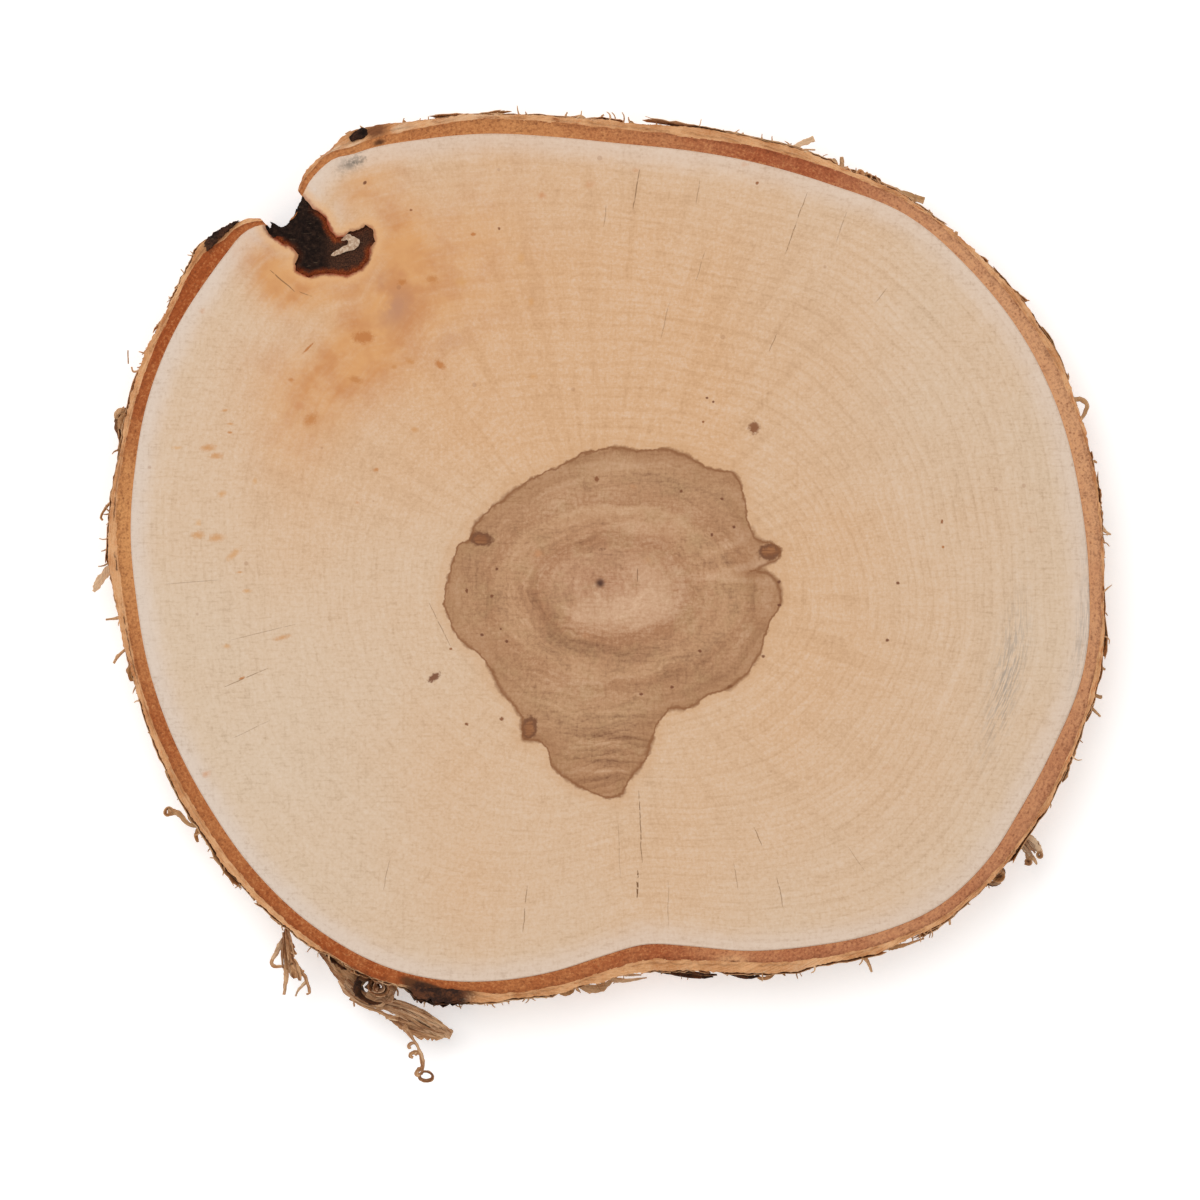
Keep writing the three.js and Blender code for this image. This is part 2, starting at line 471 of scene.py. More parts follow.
def tone_shift():
    """Darkens a colour where its amount is above zero and lightens it below."""
    wires, given, out = new_group(
        "tone shift",
        [
            ("Colour", "NodeSocketColor", None),
            ("Amount", "NodeSocketFloat", 0.0),
            ("Dark", "NodeSocketColor", (0.3, 0.15, 0.06, 1.0)),
            ("Light", "NodeSocketColor", (0.9, 0.8, 0.7, 1.0)),
        ],
        [("Colour", "NodeSocketColor")],
    )
    darker = wires.mix(given["Amount"], given["Colour"], given["Dark"])
    less = wires.sum("MULTIPLY", given["Amount"], -1.0)
    wires.feed(out["Colour"], wires.mix(less, darker, given["Light"]))
    return wires.tree


PLACE = place_in_mm()
PITH = round_the_pith()
FIBRES = fibres()
TONE = tone_shift()


def new_material(name):
    material = bpy.data.materials.new(name)
    material.use_nodes = True
    wires = Wires(material.node_tree)
    shader = next(n for n in material.node_tree.nodes if n.type == "BSDF_PRINCIPLED")
    return material, wires, shader


def centred(wires, value, amount):
    """Noise from 0 to 1 as a shift of plus or minus half the amount."""
    return wires.sum("MULTIPLY", wires.sum("SUBTRACT", value, 0.5), amount)


def sawn_wood():
    material, w, shader = new_material("sawn birch")
    place = w.group(PLACE)["Place"]
    x, y, _ = w.split(place)
    pith = w.group(PITH, Place=place)
    way_x, way_y, _ = w.split(pith["Way"])
    growth = w.read("growth")
    heart = w.read("heart")
    seam = w.read("seam")
    rim = w.read("rim")
    warm = w.read("warm")
    stain = w.read("stain")
    grey = w.read("grey")

    cloud = w.noise(place, 0.035, 3.0, 0.55)
    patch = w.noise(place, 0.22, 3.0, 0.6)
    grit = w.noise(place, 1.25, 3.0, 0.75)
    wander = w.sum("ADD", growth, centred(w, w.noise(place, 0.03, 2.0), 5.0))

    ringed = w.joined(w.sum("MULTIPLY", wander, 0.55), w.sum("MULTIPLY", way_x, 2.2), w.sum("MULTIPLY", way_y, 2.2))
    bands = w.noise(ringed, 1.0, 5.0, 0.62)
    ring_count = w.sum("ADD", w.sum("DIVIDE", wander, 2.45), centred(w, w.noise(ringed, 0.35, 1.0), 1.4))
    ring_share = w.sum("FRACT", ring_count)
    late_wood = w.sum("MULTIPLY", w.step(ring_share, 0.55, 0.93), w.step(ring_share, 0.99, 0.95))
    ring_thread = w.group(
        FIBRES,
        Place=w.joined(growth, way_x, way_y),
        Pull=(3.0, 26.0, 26.0),
        Thin=0.56,
        Thick=0.76,
    )
    rays = w.group(
        FIBRES,
        Place=w.joined(pith["Reach"], way_x, way_y),
        Pull=(0.11, 150.0, 150.0),
        Detail=1.0,
        Thin=0.55,
        Thick=0.75,
    )
    streaks = w.group(
        FIBRES,
        Place=w.joined(pith["Reach"], way_x, way_y),
        Pull=(0.022, 17.0, 17.0),
        Detail=3.0,
        Thin=0.45,
        Thick=0.72,
    )
    saw_across = w.group(FIBRES, Place=place, Pull=(0.22, 1.45, 1.0), Detail=2.0, Thin=0.50, Thick=0.68)
    saw_up = w.group(FIBRES, Place=place, Pull=(1.15, 0.16, 1.0), Detail=2.0, Thin=0.50, Thick=0.70)
    ringy = w.step(way_x, -0.4, 0.7, 0.62, 1.0)

    # sapwood, paler and cooler to the left and below, warmer above
    warmth = w.sum("ADD", warm, centred(w, cloud, 0.5))
    sapwood = w.mix(warmth, paint(217, 191, 163), paint(216, 172, 130))
    rim_wander = w.sum("ADD", rim, centred(w, patch, 3.0))
    sapwood = w.mix(w.step(rim_wander, 8.0, 1.0, 0.0, 0.50), sapwood, paint(223, 201, 184))
    bleached = w.sum("MULTIPLY", w.step(rim_wander, 6.0, 0.4, 0.0, 0.36), w.step(way_x, -0.2, -0.8, 0.25, 1.0))
    bleached = w.sum("MAXIMUM", bleached, w.sum("MULTIPLY", w.read("bleached"), w.step(patch, 0.35, 0.6)))
    sapwood = w.mix(bleached, sapwood, paint(219, 207, 198))
    tone = w.sum("MULTIPLY", centred(w, bands, 1.0), w.sum("MULTIPLY", ringy, 0.5))
    for mark, amount in (
        (w.sum("MULTIPLY", late_wood, ringy), 0.10),
        (rays["Mask"], 0.07),
        (ring_thread["Mask"], 0.10),
        (saw_across["Mask"], w.step(warm, 0.1, 0.7, 0.17, 0.09)),
        (saw_up["Mask"], w.step(warm, 0.1, 0.7, 0.12, 0.08)),
    ):
        tone = w.sum("MULTIPLY_ADD", mark, amount, tone)
    tone = w.sum("ADD", tone, centred(w, grit, 0.95))
    tone = w.sum("ADD", tone, centred(w, patch, 0.22))
    streaked = w.sum("MULTIPLY", streaks["Mask"], w.step(warm, 0.25, 0.9, 0.02, 0.16))
    tone = w.sum("SUBTRACT", w.sum("ADD", tone, streaked), 0.10)
    shade = w.mix(warmth, paint(158, 126, 92), paint(162, 112, 66))
    sapwood = w.group(TONE, Colour=sapwood, Amount=tone, Dark=shade, Light=paint(238, 219, 201))["Colour"]
    grey_thread = w.sum("MULTIPLY", grey, w.step(ring_thread["Tone"], 0.40, 0.62))
    sapwood = w.mix(w.sum("MULTIPLY", grey_thread, 0.62), sapwood, paint(140, 134, 128))

    # orange stain round the rotten seam
    clouded = w.step(w.sum("ADD", patch, cloud), 0.65, 1.25, 0.85, 1.2)
    stained = w.sum("MULTIPLY", stain, w.sum("ADD", clouded, centred(w, bands, 1.3)))
    stained = w.sum("ADD", stained, w.sum("MULTIPLY", stain, centred(w, grit, 0.5)))
    orange = w.mix(w.step(w.noise(place, 0.11, 3.0, 0.6), 0.35, 0.7), paint(217, 160, 104), paint(203, 140, 88))
    sapwood = w.mix(stained, sapwood, orange)

    # false heart
    edge = w.sum("ADD", heart, centred(w, w.noise(place, 0.30, 4.0, 0.6), 2.2))
    inside = w.step(edge, 0.12, -0.22)
    heart_wander = w.sum("ADD", growth, centred(w, w.noise(place, 0.09, 4.0, 0.65), 9.0))
    heart_rings = w.noise(
        w.joined(w.sum("MULTIPLY", heart_wander, 0.5), w.sum("MULTIPLY", way_x, 1.3), w.sum("MULTIPLY", way_y, 1.3)),
        1.0,
        6.0,
        0.66,
    )
    heartwood = w.ramp(
        w.sum("DIVIDE", heart_wander, 60.0),
        [
            (0.0, paint(172, 118, 84)),
            (0.06, paint(184, 135, 100)),
            (0.17, paint(189, 142, 106)),
            (0.22, paint(181, 132, 95)),
            (0.26, paint(173, 123, 86)),
            (0.32, paint(186, 138, 100)),
            (0.42, paint(191, 146, 107)),
            (0.455, paint(178, 130, 92)),
            (0.54, paint(185, 139, 101)),
            (0.62, paint(190, 146, 107)),
            (0.80, paint(179, 132, 94)),
            (1.0, paint(187, 140, 101)),
        ],
    )
    worn = w.noise(place, 0.09, 4.0, 0.6)
    heart_tone = w.sum("MULTIPLY", centred(w, heart_rings, 1.0), w.step(worn, 0.35, 0.65, 0.8, 1.9))
    for mark, amount in (
        (rays["Mask"], 0.12),
        (ring_thread["Mask"], 0.12),
        (saw_across["Mask"], 0.18),
        (saw_up["Mask"], 0.14),
        (w.read("heart_tone"), 1.0),
    ):
        heart_tone = w.sum("MULTIPLY_ADD", mark, amount, heart_tone)
    fine_rings = w.sum("ADD", w.sum("DIVIDE", wander, 2.4), centred(w, w.noise(place, 0.12, 3.0, 0.6), 3.2))
    fine_rings = w.sum("FRACT", fine_rings)
    fine_rings = w.sum("MULTIPLY", w.step(fine_rings, 0.35, 0.9), w.step(fine_rings, 1.0, 0.94))
    heart_tone = w.sum("MULTIPLY_ADD", fine_rings, w.sum("MULTIPLY", w.read("ringed"), 0.42), heart_tone)
    heart_tone = w.sum("ADD", heart_tone, centred(w, grit, 1.25))
    heart_tone = w.sum("ADD", heart_tone, centred(w, w.noise(place, 0.12, 4.0, 0.6), 0.7))
    heart_tone = w.sum("SUBTRACT", heart_tone, 0.10)
    olive = w.step(w.noise(place, 0.15, 4.0, 0.65), 0.45, 0.72, 0.0, 0.45)
    heartwood = w.mix(olive, heartwood, paint(180, 144, 102))
    heartwood = w.group(TONE, Colour=heartwood, Amount=heart_tone, Dark=paint(120, 76, 46), Light=paint(222, 184, 150))["Colour"]
    near_edge = w.step(w.sum("ADD", edge, centred(w, worn, 9.0)), -8.0, -0.5, 0.0, 0.34)
    heartwood = w.mix(near_edge, heartwood, paint(150, 98, 58))
    knot = w.sum("ADD", w.read("knot"), centred(w, w.noise(place, 0.8, 3.0, 0.6), 0.7))
    heartwood = w.mix(w.step(knot, 0.30, 0.55, 0.0, 0.9), heartwood, paint(112, 66, 36))
    knot_fill = w.mix(w.step(saw_across["Tone"], 0.4, 0.6), paint(164, 108, 66), paint(136, 84, 48))
    heartwood = w.mix(w.step(knot, 0.60, 0.85, 0.0, 0.85), heartwood, knot_fill)
    halo = w.step(edge, 4.2, 0.2, 0.0, 0.42)
    colour = w.mix(halo, sapwood, paint(208, 162, 118))
    colour = w.mix(inside, colour, heartwood)
    dark_line = w.step(w.sum("ABSOLUTE", w.sum("ADD", edge, 0.15)), w.step(patch, 0.4, 0.62, 0.35, 1.2), 0.05, 0.0, 0.74)
    colour = w.mix(dark_line, colour, paint(134, 82, 42))
    pith_spot = w.step(w.sum("ADD", pith["Reach"], centred(w, grit, 0.8)), 1.7, 0.2)
    colour = w.mix(pith_spot, colour, paint(84, 50, 34))

    # rust line and pale fringe against the rotten seam
    seam_wander = w.sum("ADD", seam, centred(w, w.noise(place, 0.9, 3.0, 0.6), 1.3))
    fringe = w.step(seam_wander, 3.4, 0.9, 0.0, 0.55)
    colour = w.mix(fringe, colour, paint(226, 172, 116))
    rusty = w.read("rusty")
    rust = w.sum("MULTIPLY", w.step(seam_wander, 1.1, 0.1), w.step(rusty, 0.0, 0.7, 0.55, 1.0))
    colour = w.mix(rust, colour, w.mix(w.step(patch, 0.4, 0.6), paint(150, 64, 30), paint(122, 62, 32)))
    smear = w.sum("MULTIPLY", w.read("smear"), w.step(w.sum("ADD", patch, centred(w, grit, 0.5)), 0.4, 0.62))
    colour = w.mix(smear, colour, paint(116, 106, 94))
    violet = w.sum("MULTIPLY", w.read("violet"), w.step(patch, 0.3, 0.55))
    colour = w.mix(violet, colour, paint(184, 134, 106))

    # flecks: each point knows the nearest one, its place, turn and size
    fleck_x, fleck_y, fleck_turn = w.split(w.read("fleck", "Vector"))
    fleck_long, fleck_wide, fleck_dark = w.split(w.read("fleck_size", "Vector"))
    off_x, off_y = w.sum("SUBTRACT", x, fleck_x), w.sum("SUBTRACT", y, fleck_y)
    cosine, sine = w.sum("COSINE", fleck_turn), w.sum("SINE", fleck_turn)
    along = w.sum("ADD", w.sum("MULTIPLY", off_x, cosine), w.sum("MULTIPLY", off_y, sine))
    across = w.sum("SUBTRACT", w.sum("MULTIPLY", off_y, cosine), w.sum("MULTIPLY", off_x, sine))
    far_along = w.sum("DIVIDE", along, w.sum("MAXIMUM", fleck_long, 0.01))
    far_across = w.sum("DIVIDE", across, w.sum("MAXIMUM", fleck_wide, 0.01))
    far = w.turn("LENGTH", w.joined(far_along, far_across, 0.0))
    far = w.sum("ADD", far, centred(w, w.noise(place, 1.7, 3.0, 0.6), 1.3))
    soft = w.step(fleck_dark, 0.65, 0.35, 1.05, 1.5)
    fleck = w.sum("MULTIPLY", w.step(far, soft, w.sum("SUBTRACT", 1.5, soft)), w.step(fleck_long, 0.0, 0.1))
    fleck_colour = w.mix(w.step(fleck_dark, 0.25, 0.6), paint(214, 160, 100), paint(190, 120, 62))
    fleck_colour = w.mix(w.step(fleck_dark, 0.6, 0.95), fleck_colour, paint(112, 62, 34))
    colour = w.mix(w.sum("MULTIPLY", fleck, w.step(fleck_dark, 0.0, 0.6, 0.35, 0.92)), colour, fleck_colour)

    # drying checks: thin cracks along the rays, each point knows the nearest one; each is a real crack, drawn as a
    # dark line of painted shade inside it and pressed in by the bump
    from_x, from_y, check_width = w.split(w.read("check_from", "Vector"))
    to_x, to_y, check_shade = w.split(w.read("check_to", "Vector"))
    bend = centred(w, w.noise(place, 0.22, 3.0), 0.9)
    run = w.joined(w.sum("SUBTRACT", to_x, from_x), w.sum("SUBTRACT", to_y, from_y), 0.0)
    here = w.joined(w.sum("ADD", w.sum("SUBTRACT", x, from_x), bend), w.sum("SUBTRACT", y, from_y), 0.0)
    share = w.sum("DIVIDE", w.turn("DOT_PRODUCT", here, run), w.sum("MAXIMUM", w.turn("DOT_PRODUCT", run, run), 0.01))
    node = w.add("ShaderNodeClamp", {"Value": share})
    share = node.outputs[0]
    gap = w.turn("LENGTH", w.turn("SUBTRACT", here, w.scaled(run, share)))
    taper = w.sum("MULTIPLY", w.sum("MULTIPLY", share, w.sum("SUBTRACT", 1.0, share)), 4.0)
    opening = w.sum("MULTIPLY", check_width, w.sum("POWER", taper, 0.45))
    broken = w.step(w.noise(place, 0.6, 3.0), 0.32, 0.5)
    check = w.sum("MULTIPLY", w.step(w.sum("DIVIDE", gap, w.sum("MAXIMUM", opening, 0.01)), 1.0, 0.5), broken)
    check = w.sum("MULTIPLY", check, w.step(check_width, 0.0, 0.05))
    # painted shade inside the cracks
    colour = w.mix(w.sum("MULTIPLY", check, check_shade), colour, paint(126, 88, 54))

    # fine brown specks
    speck = w.add("ShaderNodeTexVoronoi", {"Vector": place, "Scale": 0.16, "Randomness": 1.0})
    speck_pick, speck_size, _ = w.split(speck.outputs["Color"])
    speck_far = w.sum("ADD", w.sum("DIVIDE", speck.outputs["Distance"], 0.16), centred(w, grit, 0.5))
    speck_wide = w.sum("MULTIPLY", speck_size, 0.55)
    speck_mask = w.sum("MULTIPLY", w.step(speck_far, w.sum("ADD", speck_wide, 0.25), speck_wide), w.step(speck_pick, 0.80, 0.84))
    colour = w.mix(w.sum("MULTIPLY", speck_mask, 0.30), colour, paint(150, 98, 62))

    smudge = w.add("ShaderNodeTexVoronoi", {"Vector": w.turn("MULTIPLY", place, (0.75, 1.0, 1.0)), "Scale": 0.11})
    smudge_pick, smudge_size, _ = w.split(smudge.outputs["Color"])
    smudge_far = w.sum("ADD", smudge.outputs["Distance"], centred(w, w.noise(place, 0.9, 3.0, 0.6), 0.16))
    smudge_mask = w.step(smudge_far, w.sum("MULTIPLY_ADD", smudge_size, 0.12, 0.06), 0.0)
    smudge_mask = w.sum("MULTIPLY", smudge_mask, w.step(smudge_pick, 0.62, 0.7))
    smudge_mask = w.sum("MULTIPLY", smudge_mask, w.step(w.sum("SUBTRACT", y, w.sum("MULTIPLY", x, 1.1)), -30.0, 60.0, 0.15, 0.75))
    colour = w.mix(smudge_mask, colour, paint(203, 140, 92))

    w.feed(shader.inputs["Base Color"], colour)
    roughness = w.sum("ADD", 0.66, centred(w, bands, 0.16))
    w.feed(shader.inputs["Roughness"], roughness)
    shader.inputs["Specular IOR Level"].default_value = 0.28
    height = w.sum("MULTIPLY", saw_across["Tone"], 0.5)
    height = w.sum("ADD", height, w.sum("MULTIPLY", saw_up["Tone"], 0.3))
    height = w.sum("ADD", height, w.sum("MULTIPLY", bands, 0.5))
    height = w.sum("ADD", height, w.sum("MULTIPLY", grit, 0.35))
    height = w.sum("SUBTRACT", height, w.sum("MULTIPLY", rays["Mask"], 0.2))
    height = w.sum("SUBTRACT", height, w.sum("MULTIPLY", check, 2.5))
    height = w.sum("SUBTRACT", height, w.sum("MULTIPLY", fleck, 0.5))
    bump = w.add("ShaderNodeBump", {"Height": height, "Strength": 0.35, "Distance": 0.0002})
    w.feed(shader.inputs["Normal"], bump.outputs[0])
    return material


def inner_bark_skin():
    material, w, shader = new_material("inner bark")
    place = w.group(PLACE)["Place"]
    pith = w.group(PITH, Place=place)
    way_x, way_y, _ = w.split(pith["Way"])
    depth = w.read("depth")
    red = w.read("red")
    spoiled = w.read("spoiled")
    cloud = w.noise(place, 0.16, 4.0, 0.65)
    layers = w.group(
        FIBRES,
        Place=w.joined(pith["Reach"], way_x, way_y),
        Pull=(1.9, 40.0, 40.0),
        Detail=3.0,
        Thin=0.45,
        Thick=0.7,
    )
    grain = w.noise(place, 1.5, 4.0, 0.75)
    redness = w.sum("ADD", red, centred(w, cloud, 0.6))
    rightward = w.step(way_x, -0.3, 0.6)
    tan_bark = w.mix(rightward, paint(222, 157, 98), paint(220, 162, 118))
    red_bark = w.mix(rightward, paint(169, 84, 38), paint(174, 94, 58))
    colour = w.mix(redness, tan_bark, red_bark)
    tone = w.sum("ADD", centred(w, grain, 2.3), w.sum("MULTIPLY", layers["Mask"], 0.25))
    tone = w.sum("ADD", tone, w.step(depth, 0.6, 1.0, 0.0, 0.24))
    tone = w.sum("ADD", tone, w.step(depth, 0.2, 0.0, 0.0, -0.25))
    colour = w.group(TONE, Colour=colour, Amount=tone, Dark=paint(104, 50, 24), Light=paint(232, 172, 112))["Colour"]
    rot = w.mix(w.step(cloud, 0.4, 0.6), paint(60, 36, 24), paint(98, 58, 32))
    colour = w.mix(w.step(w.sum("ADD", spoiled, centred(w, cloud, 1.0)), 0.35, 0.95), colour, rot)
    dots = w.add("ShaderNodeTexVoronoi", {"Vector": place, "Scale": 0.95, "Randomness": 1.0})
    dot = w.step(w.sum("ADD", dots.outputs["Distance"], centred(w, grain, 0.3)), 0.34, 0.14)
    dot = w.sum("MULTIPLY", dot, w.step(w.split(dots.outputs["Color"])[0], 0.45, 0.6))
    colour = w.mix(w.sum("MULTIPLY", dot, 0.5), colour, paint(128, 66, 34))
    w.feed(shader.inputs["Base Color"], colour)
    shader.inputs["Roughness"].default_value = 0.85
    shader.inputs["Specular IOR Level"].default_value = 0.2
    height = w.sum("ADD", grain, w.sum("MULTIPLY", layers["Tone"], 0.8))
    bump = w.add("ShaderNodeBump", {"Height": height, "Strength": 0.6, "Distance": 0.0006})
    w.feed(shader.inputs["Normal"], bump.outputs[0])
    return material


def outer_bark_skin(name, pale, deep, char, striped):
    material, w, shader = new_material(name)
    place = w.group(PLACE)["Place"]
    _, _, z = w.split(place)
    pith = w.group(PITH, Place=place)
    way_x, way_y, _ = w.split(pith["Way"])
    dark = w.read("dark")
    faded = w.read("pale")
    tint = w.read("tint")
    cloud = w.noise(place, 0.13, 4.0, 0.6)
    grain = w.noise(place, 1.8, 4.0, 0.7)
    sheets = w.group(
        FIBRES,
        Place=w.joined(pith["Reach"], way_x, way_y),
        Pull=(3.2, 22.0, 22.0),
        Detail=3.0,
        Thin=0.47,
        Thick=0.66,
    )
    # round the outside: sideways paper lines and dark breathing slits
    paper = w.group(FIBRES, Place=w.joined(z, way_x, way_y), Pull=(1.5, 13.0, 13.0), Detail=4.0, Thin=0.5, Thick=0.68)
    slit = w.group(FIBRES, Place=w.joined(z, way_x, way_y), Pull=(0.95, 30.0, 30.0), Detail=1.0, Thin=0.69, Thick=0.74)
    wall = w.step(w.sum("ABSOLUTE", w.split(w.add("ShaderNodeNewGeometry").outputs["Normal"])[2]), 0.75, 0.45)
    lines = w.sum("ADD", w.sum("MULTIPLY", sheets["Mask"], 0.5), w.sum("MULTIPLY", w.sum("MULTIPLY", paper["Mask"], wall), 0.4))
    colour = w.mix(w.step(cloud, 0.35, 0.68), pale, deep)
    tone = w.sum("ADD", centred(w, grain, 0.9), w.sum("MULTIPLY", lines, 0.42))
    tone = w.sum("ADD", w.sum("SUBTRACT", tone, 0.10), tint)
    colour = w.mix(w.sum("MULTIPLY", faded, 0.8), colour, paint(224, 194, 162))
    colour = w.group(TONE, Colour=colour, Amount=tone, Dark=paint(132, 80, 46), Light=paint(240, 205, 168))["Colour"]
    # torn pieces show their fibres, which run along each of them
    fibre = w.noise(w.turn("MULTIPLY", w.read("grain", "Vector"), (0.22, 2.6, 1.0)), 1.0, 3.0, 0.65)
    shade = w.sum("MULTIPLY", centred(w, fibre, 2.9), striped)
    colour = w.group(TONE, Colour=colour, Amount=shade, Dark=paint(92, 58, 30), Light=paint(234, 202, 162))["Colour"]
    # a sheet that has come away leaves a thin gap, painted here as a dark line of shade along the split
    shaded_gap_at = w.sum("ADD", w.read("split"), centred(w, w.noise(place, 0.5, 3.0), 0.5))
    gap = w.sum("MULTIPLY", w.step(w.sum("ABSOLUTE", shaded_gap_at), 0.13, 0.03), w.step(cloud, 0.44, 0.54))
    gap = w.sum("MULTIPLY", gap, w.step(w.sum("ABSOLUTE", w.read("split")), 0.0, 0.001))
    gap = w.sum("MULTIPLY", gap, w.step(w.sum("ADD", way_x, w.sum("ABSOLUTE", way_y)), -0.70, -0.86, 0.25, 0.85))
    colour = w.mix(gap, colour, paint(84, 50, 30))
    colour = w.mix(w.sum("MULTIPLY", w.sum("MULTIPLY", slit["Mask"], wall), 0.8), colour, paint(78, 52, 38))
    charred = w.step(w.sum("ADD", dark, centred(w, grain, 0.5)), 0.30, 0.85)
    burnt = w.mix(w.step(w.noise(place, 0.45, 4.0, 0.7), 0.4, 0.65), char, paint(104, 60, 34))
    colour = w.mix(charred, colour, burnt)
    w.feed(shader.inputs["Base Color"], colour)
    shader.inputs["Roughness"].default_value = 0.72
    shader.inputs["Specular IOR Level"].default_value = 0.25
    height = w.sum("ADD", grain, w.sum("MULTIPLY", lines, -0.9))
    height = w.sum("SUBTRACT", height, w.sum("MULTIPLY", slit["Mask"], 0.6))
    bump = w.add("ShaderNodeBump", {"Height": height, "Strength": 0.55, "Distance": 0.0005})
    w.feed(shader.inputs["Normal"], bump.outputs[0])
    return material


def rotten_skin():
    material, w, shader = new_material("rotten bark")
    place = w.group(PLACE)["Place"]
    edge = w.read("edge")
    felt = w.read("felt")
    lumps = w.noise(place, 0.8, 5.0, 0.7)
    grain = w.noise(place, 3.0, 3.0, 0.7)
    colour = w.ramp(
        lumps,
        [(0.25, paint(18, 10, 8)), (0.45, paint(32, 20, 15)), (0.60, paint(50, 33, 25)), (0.78, paint(88, 66, 48))],
    )
    brown = w.mix(w.step(grain, 0.35, 0.7), paint(52, 32, 24), paint(104, 66, 46))
    colour = w.mix(w.sum("MULTIPLY", felt, 0.85), colour, brown)
    splinters = w.group(FIBRES, Place=place, Pull=(0.5, 2.6, 1.0), Detail=3.0, Thin=0.62, Thick=0.72)
    colour = w.mix(w.sum("MULTIPLY", splinters["Mask"], 0.38), colour, paint(112, 92, 72))
    rust = w.step(w.sum("ADD", edge, centred(w, lumps, 2.4)), 1.9, 0.3)
    rust = w.sum("MULTIPLY", rust, w.step(w.read("rusty"), 0.1, 0.8, 0.12, 0.95))
    orange = w.mix(w.step(grain, 0.45, 0.7), paint(132, 54, 24), paint(176, 96, 42))
    colour = w.mix(rust, colour, orange)
    w.feed(shader.inputs["Base Color"], colour)
    shader.inputs["Roughness"].default_value = 0.92
    shader.inputs["Specular IOR Level"].default_value = 0.15
    height = w.sum("ADD", lumps, w.sum("MULTIPLY", grain, 0.4))
    bump = w.add("ShaderNodeBump", {"Height": height, "Strength": 0.8, "Distance": 0.0008})
    w.feed(shader.inputs["Normal"], bump.outputs[0])
    return material


def pale_fragment_skin():
    material, w, shader = new_material("pale fragment")
    place = w.group(PLACE)["Place"]
    grain = w.noise(place, 1.6, 4.0, 0.7)
    colour = w.ramp(grain, [(0.3, paint(128, 88, 62)), (0.5, paint(190, 158, 130)), (0.7, paint(226, 204, 180))])
    w.feed(shader.inputs["Base Color"], colour)
    shader.inputs["Roughness"].default_value = 0.8
    bump = w.add("ShaderNodeBump", {"Height": grain, "Strength": 0.5, "Distance": 0.0005})
    w.feed(shader.inputs["Normal"], bump.outputs[0])
    return material


SAWN = sawn_wood()
INNER = inner_bark_skin()
OUTER = outer_bark_skin("outer bark", paint(228, 170, 118), paint(200, 134, 82), paint(46, 24, 13), 0.0)
PAPER = outer_bark_skin("peeling paper bark", paint(222, 174, 126), paint(176, 126, 74), paint(60, 38, 22), 0.55)
WEATHERED = outer_bark_skin("weathered bark", paint(212, 160, 112), paint(160, 98, 54), paint(48, 26, 14), 1.15)
ROTTEN = rotten_skin()
FRAGMENT = pale_fragment_skin()

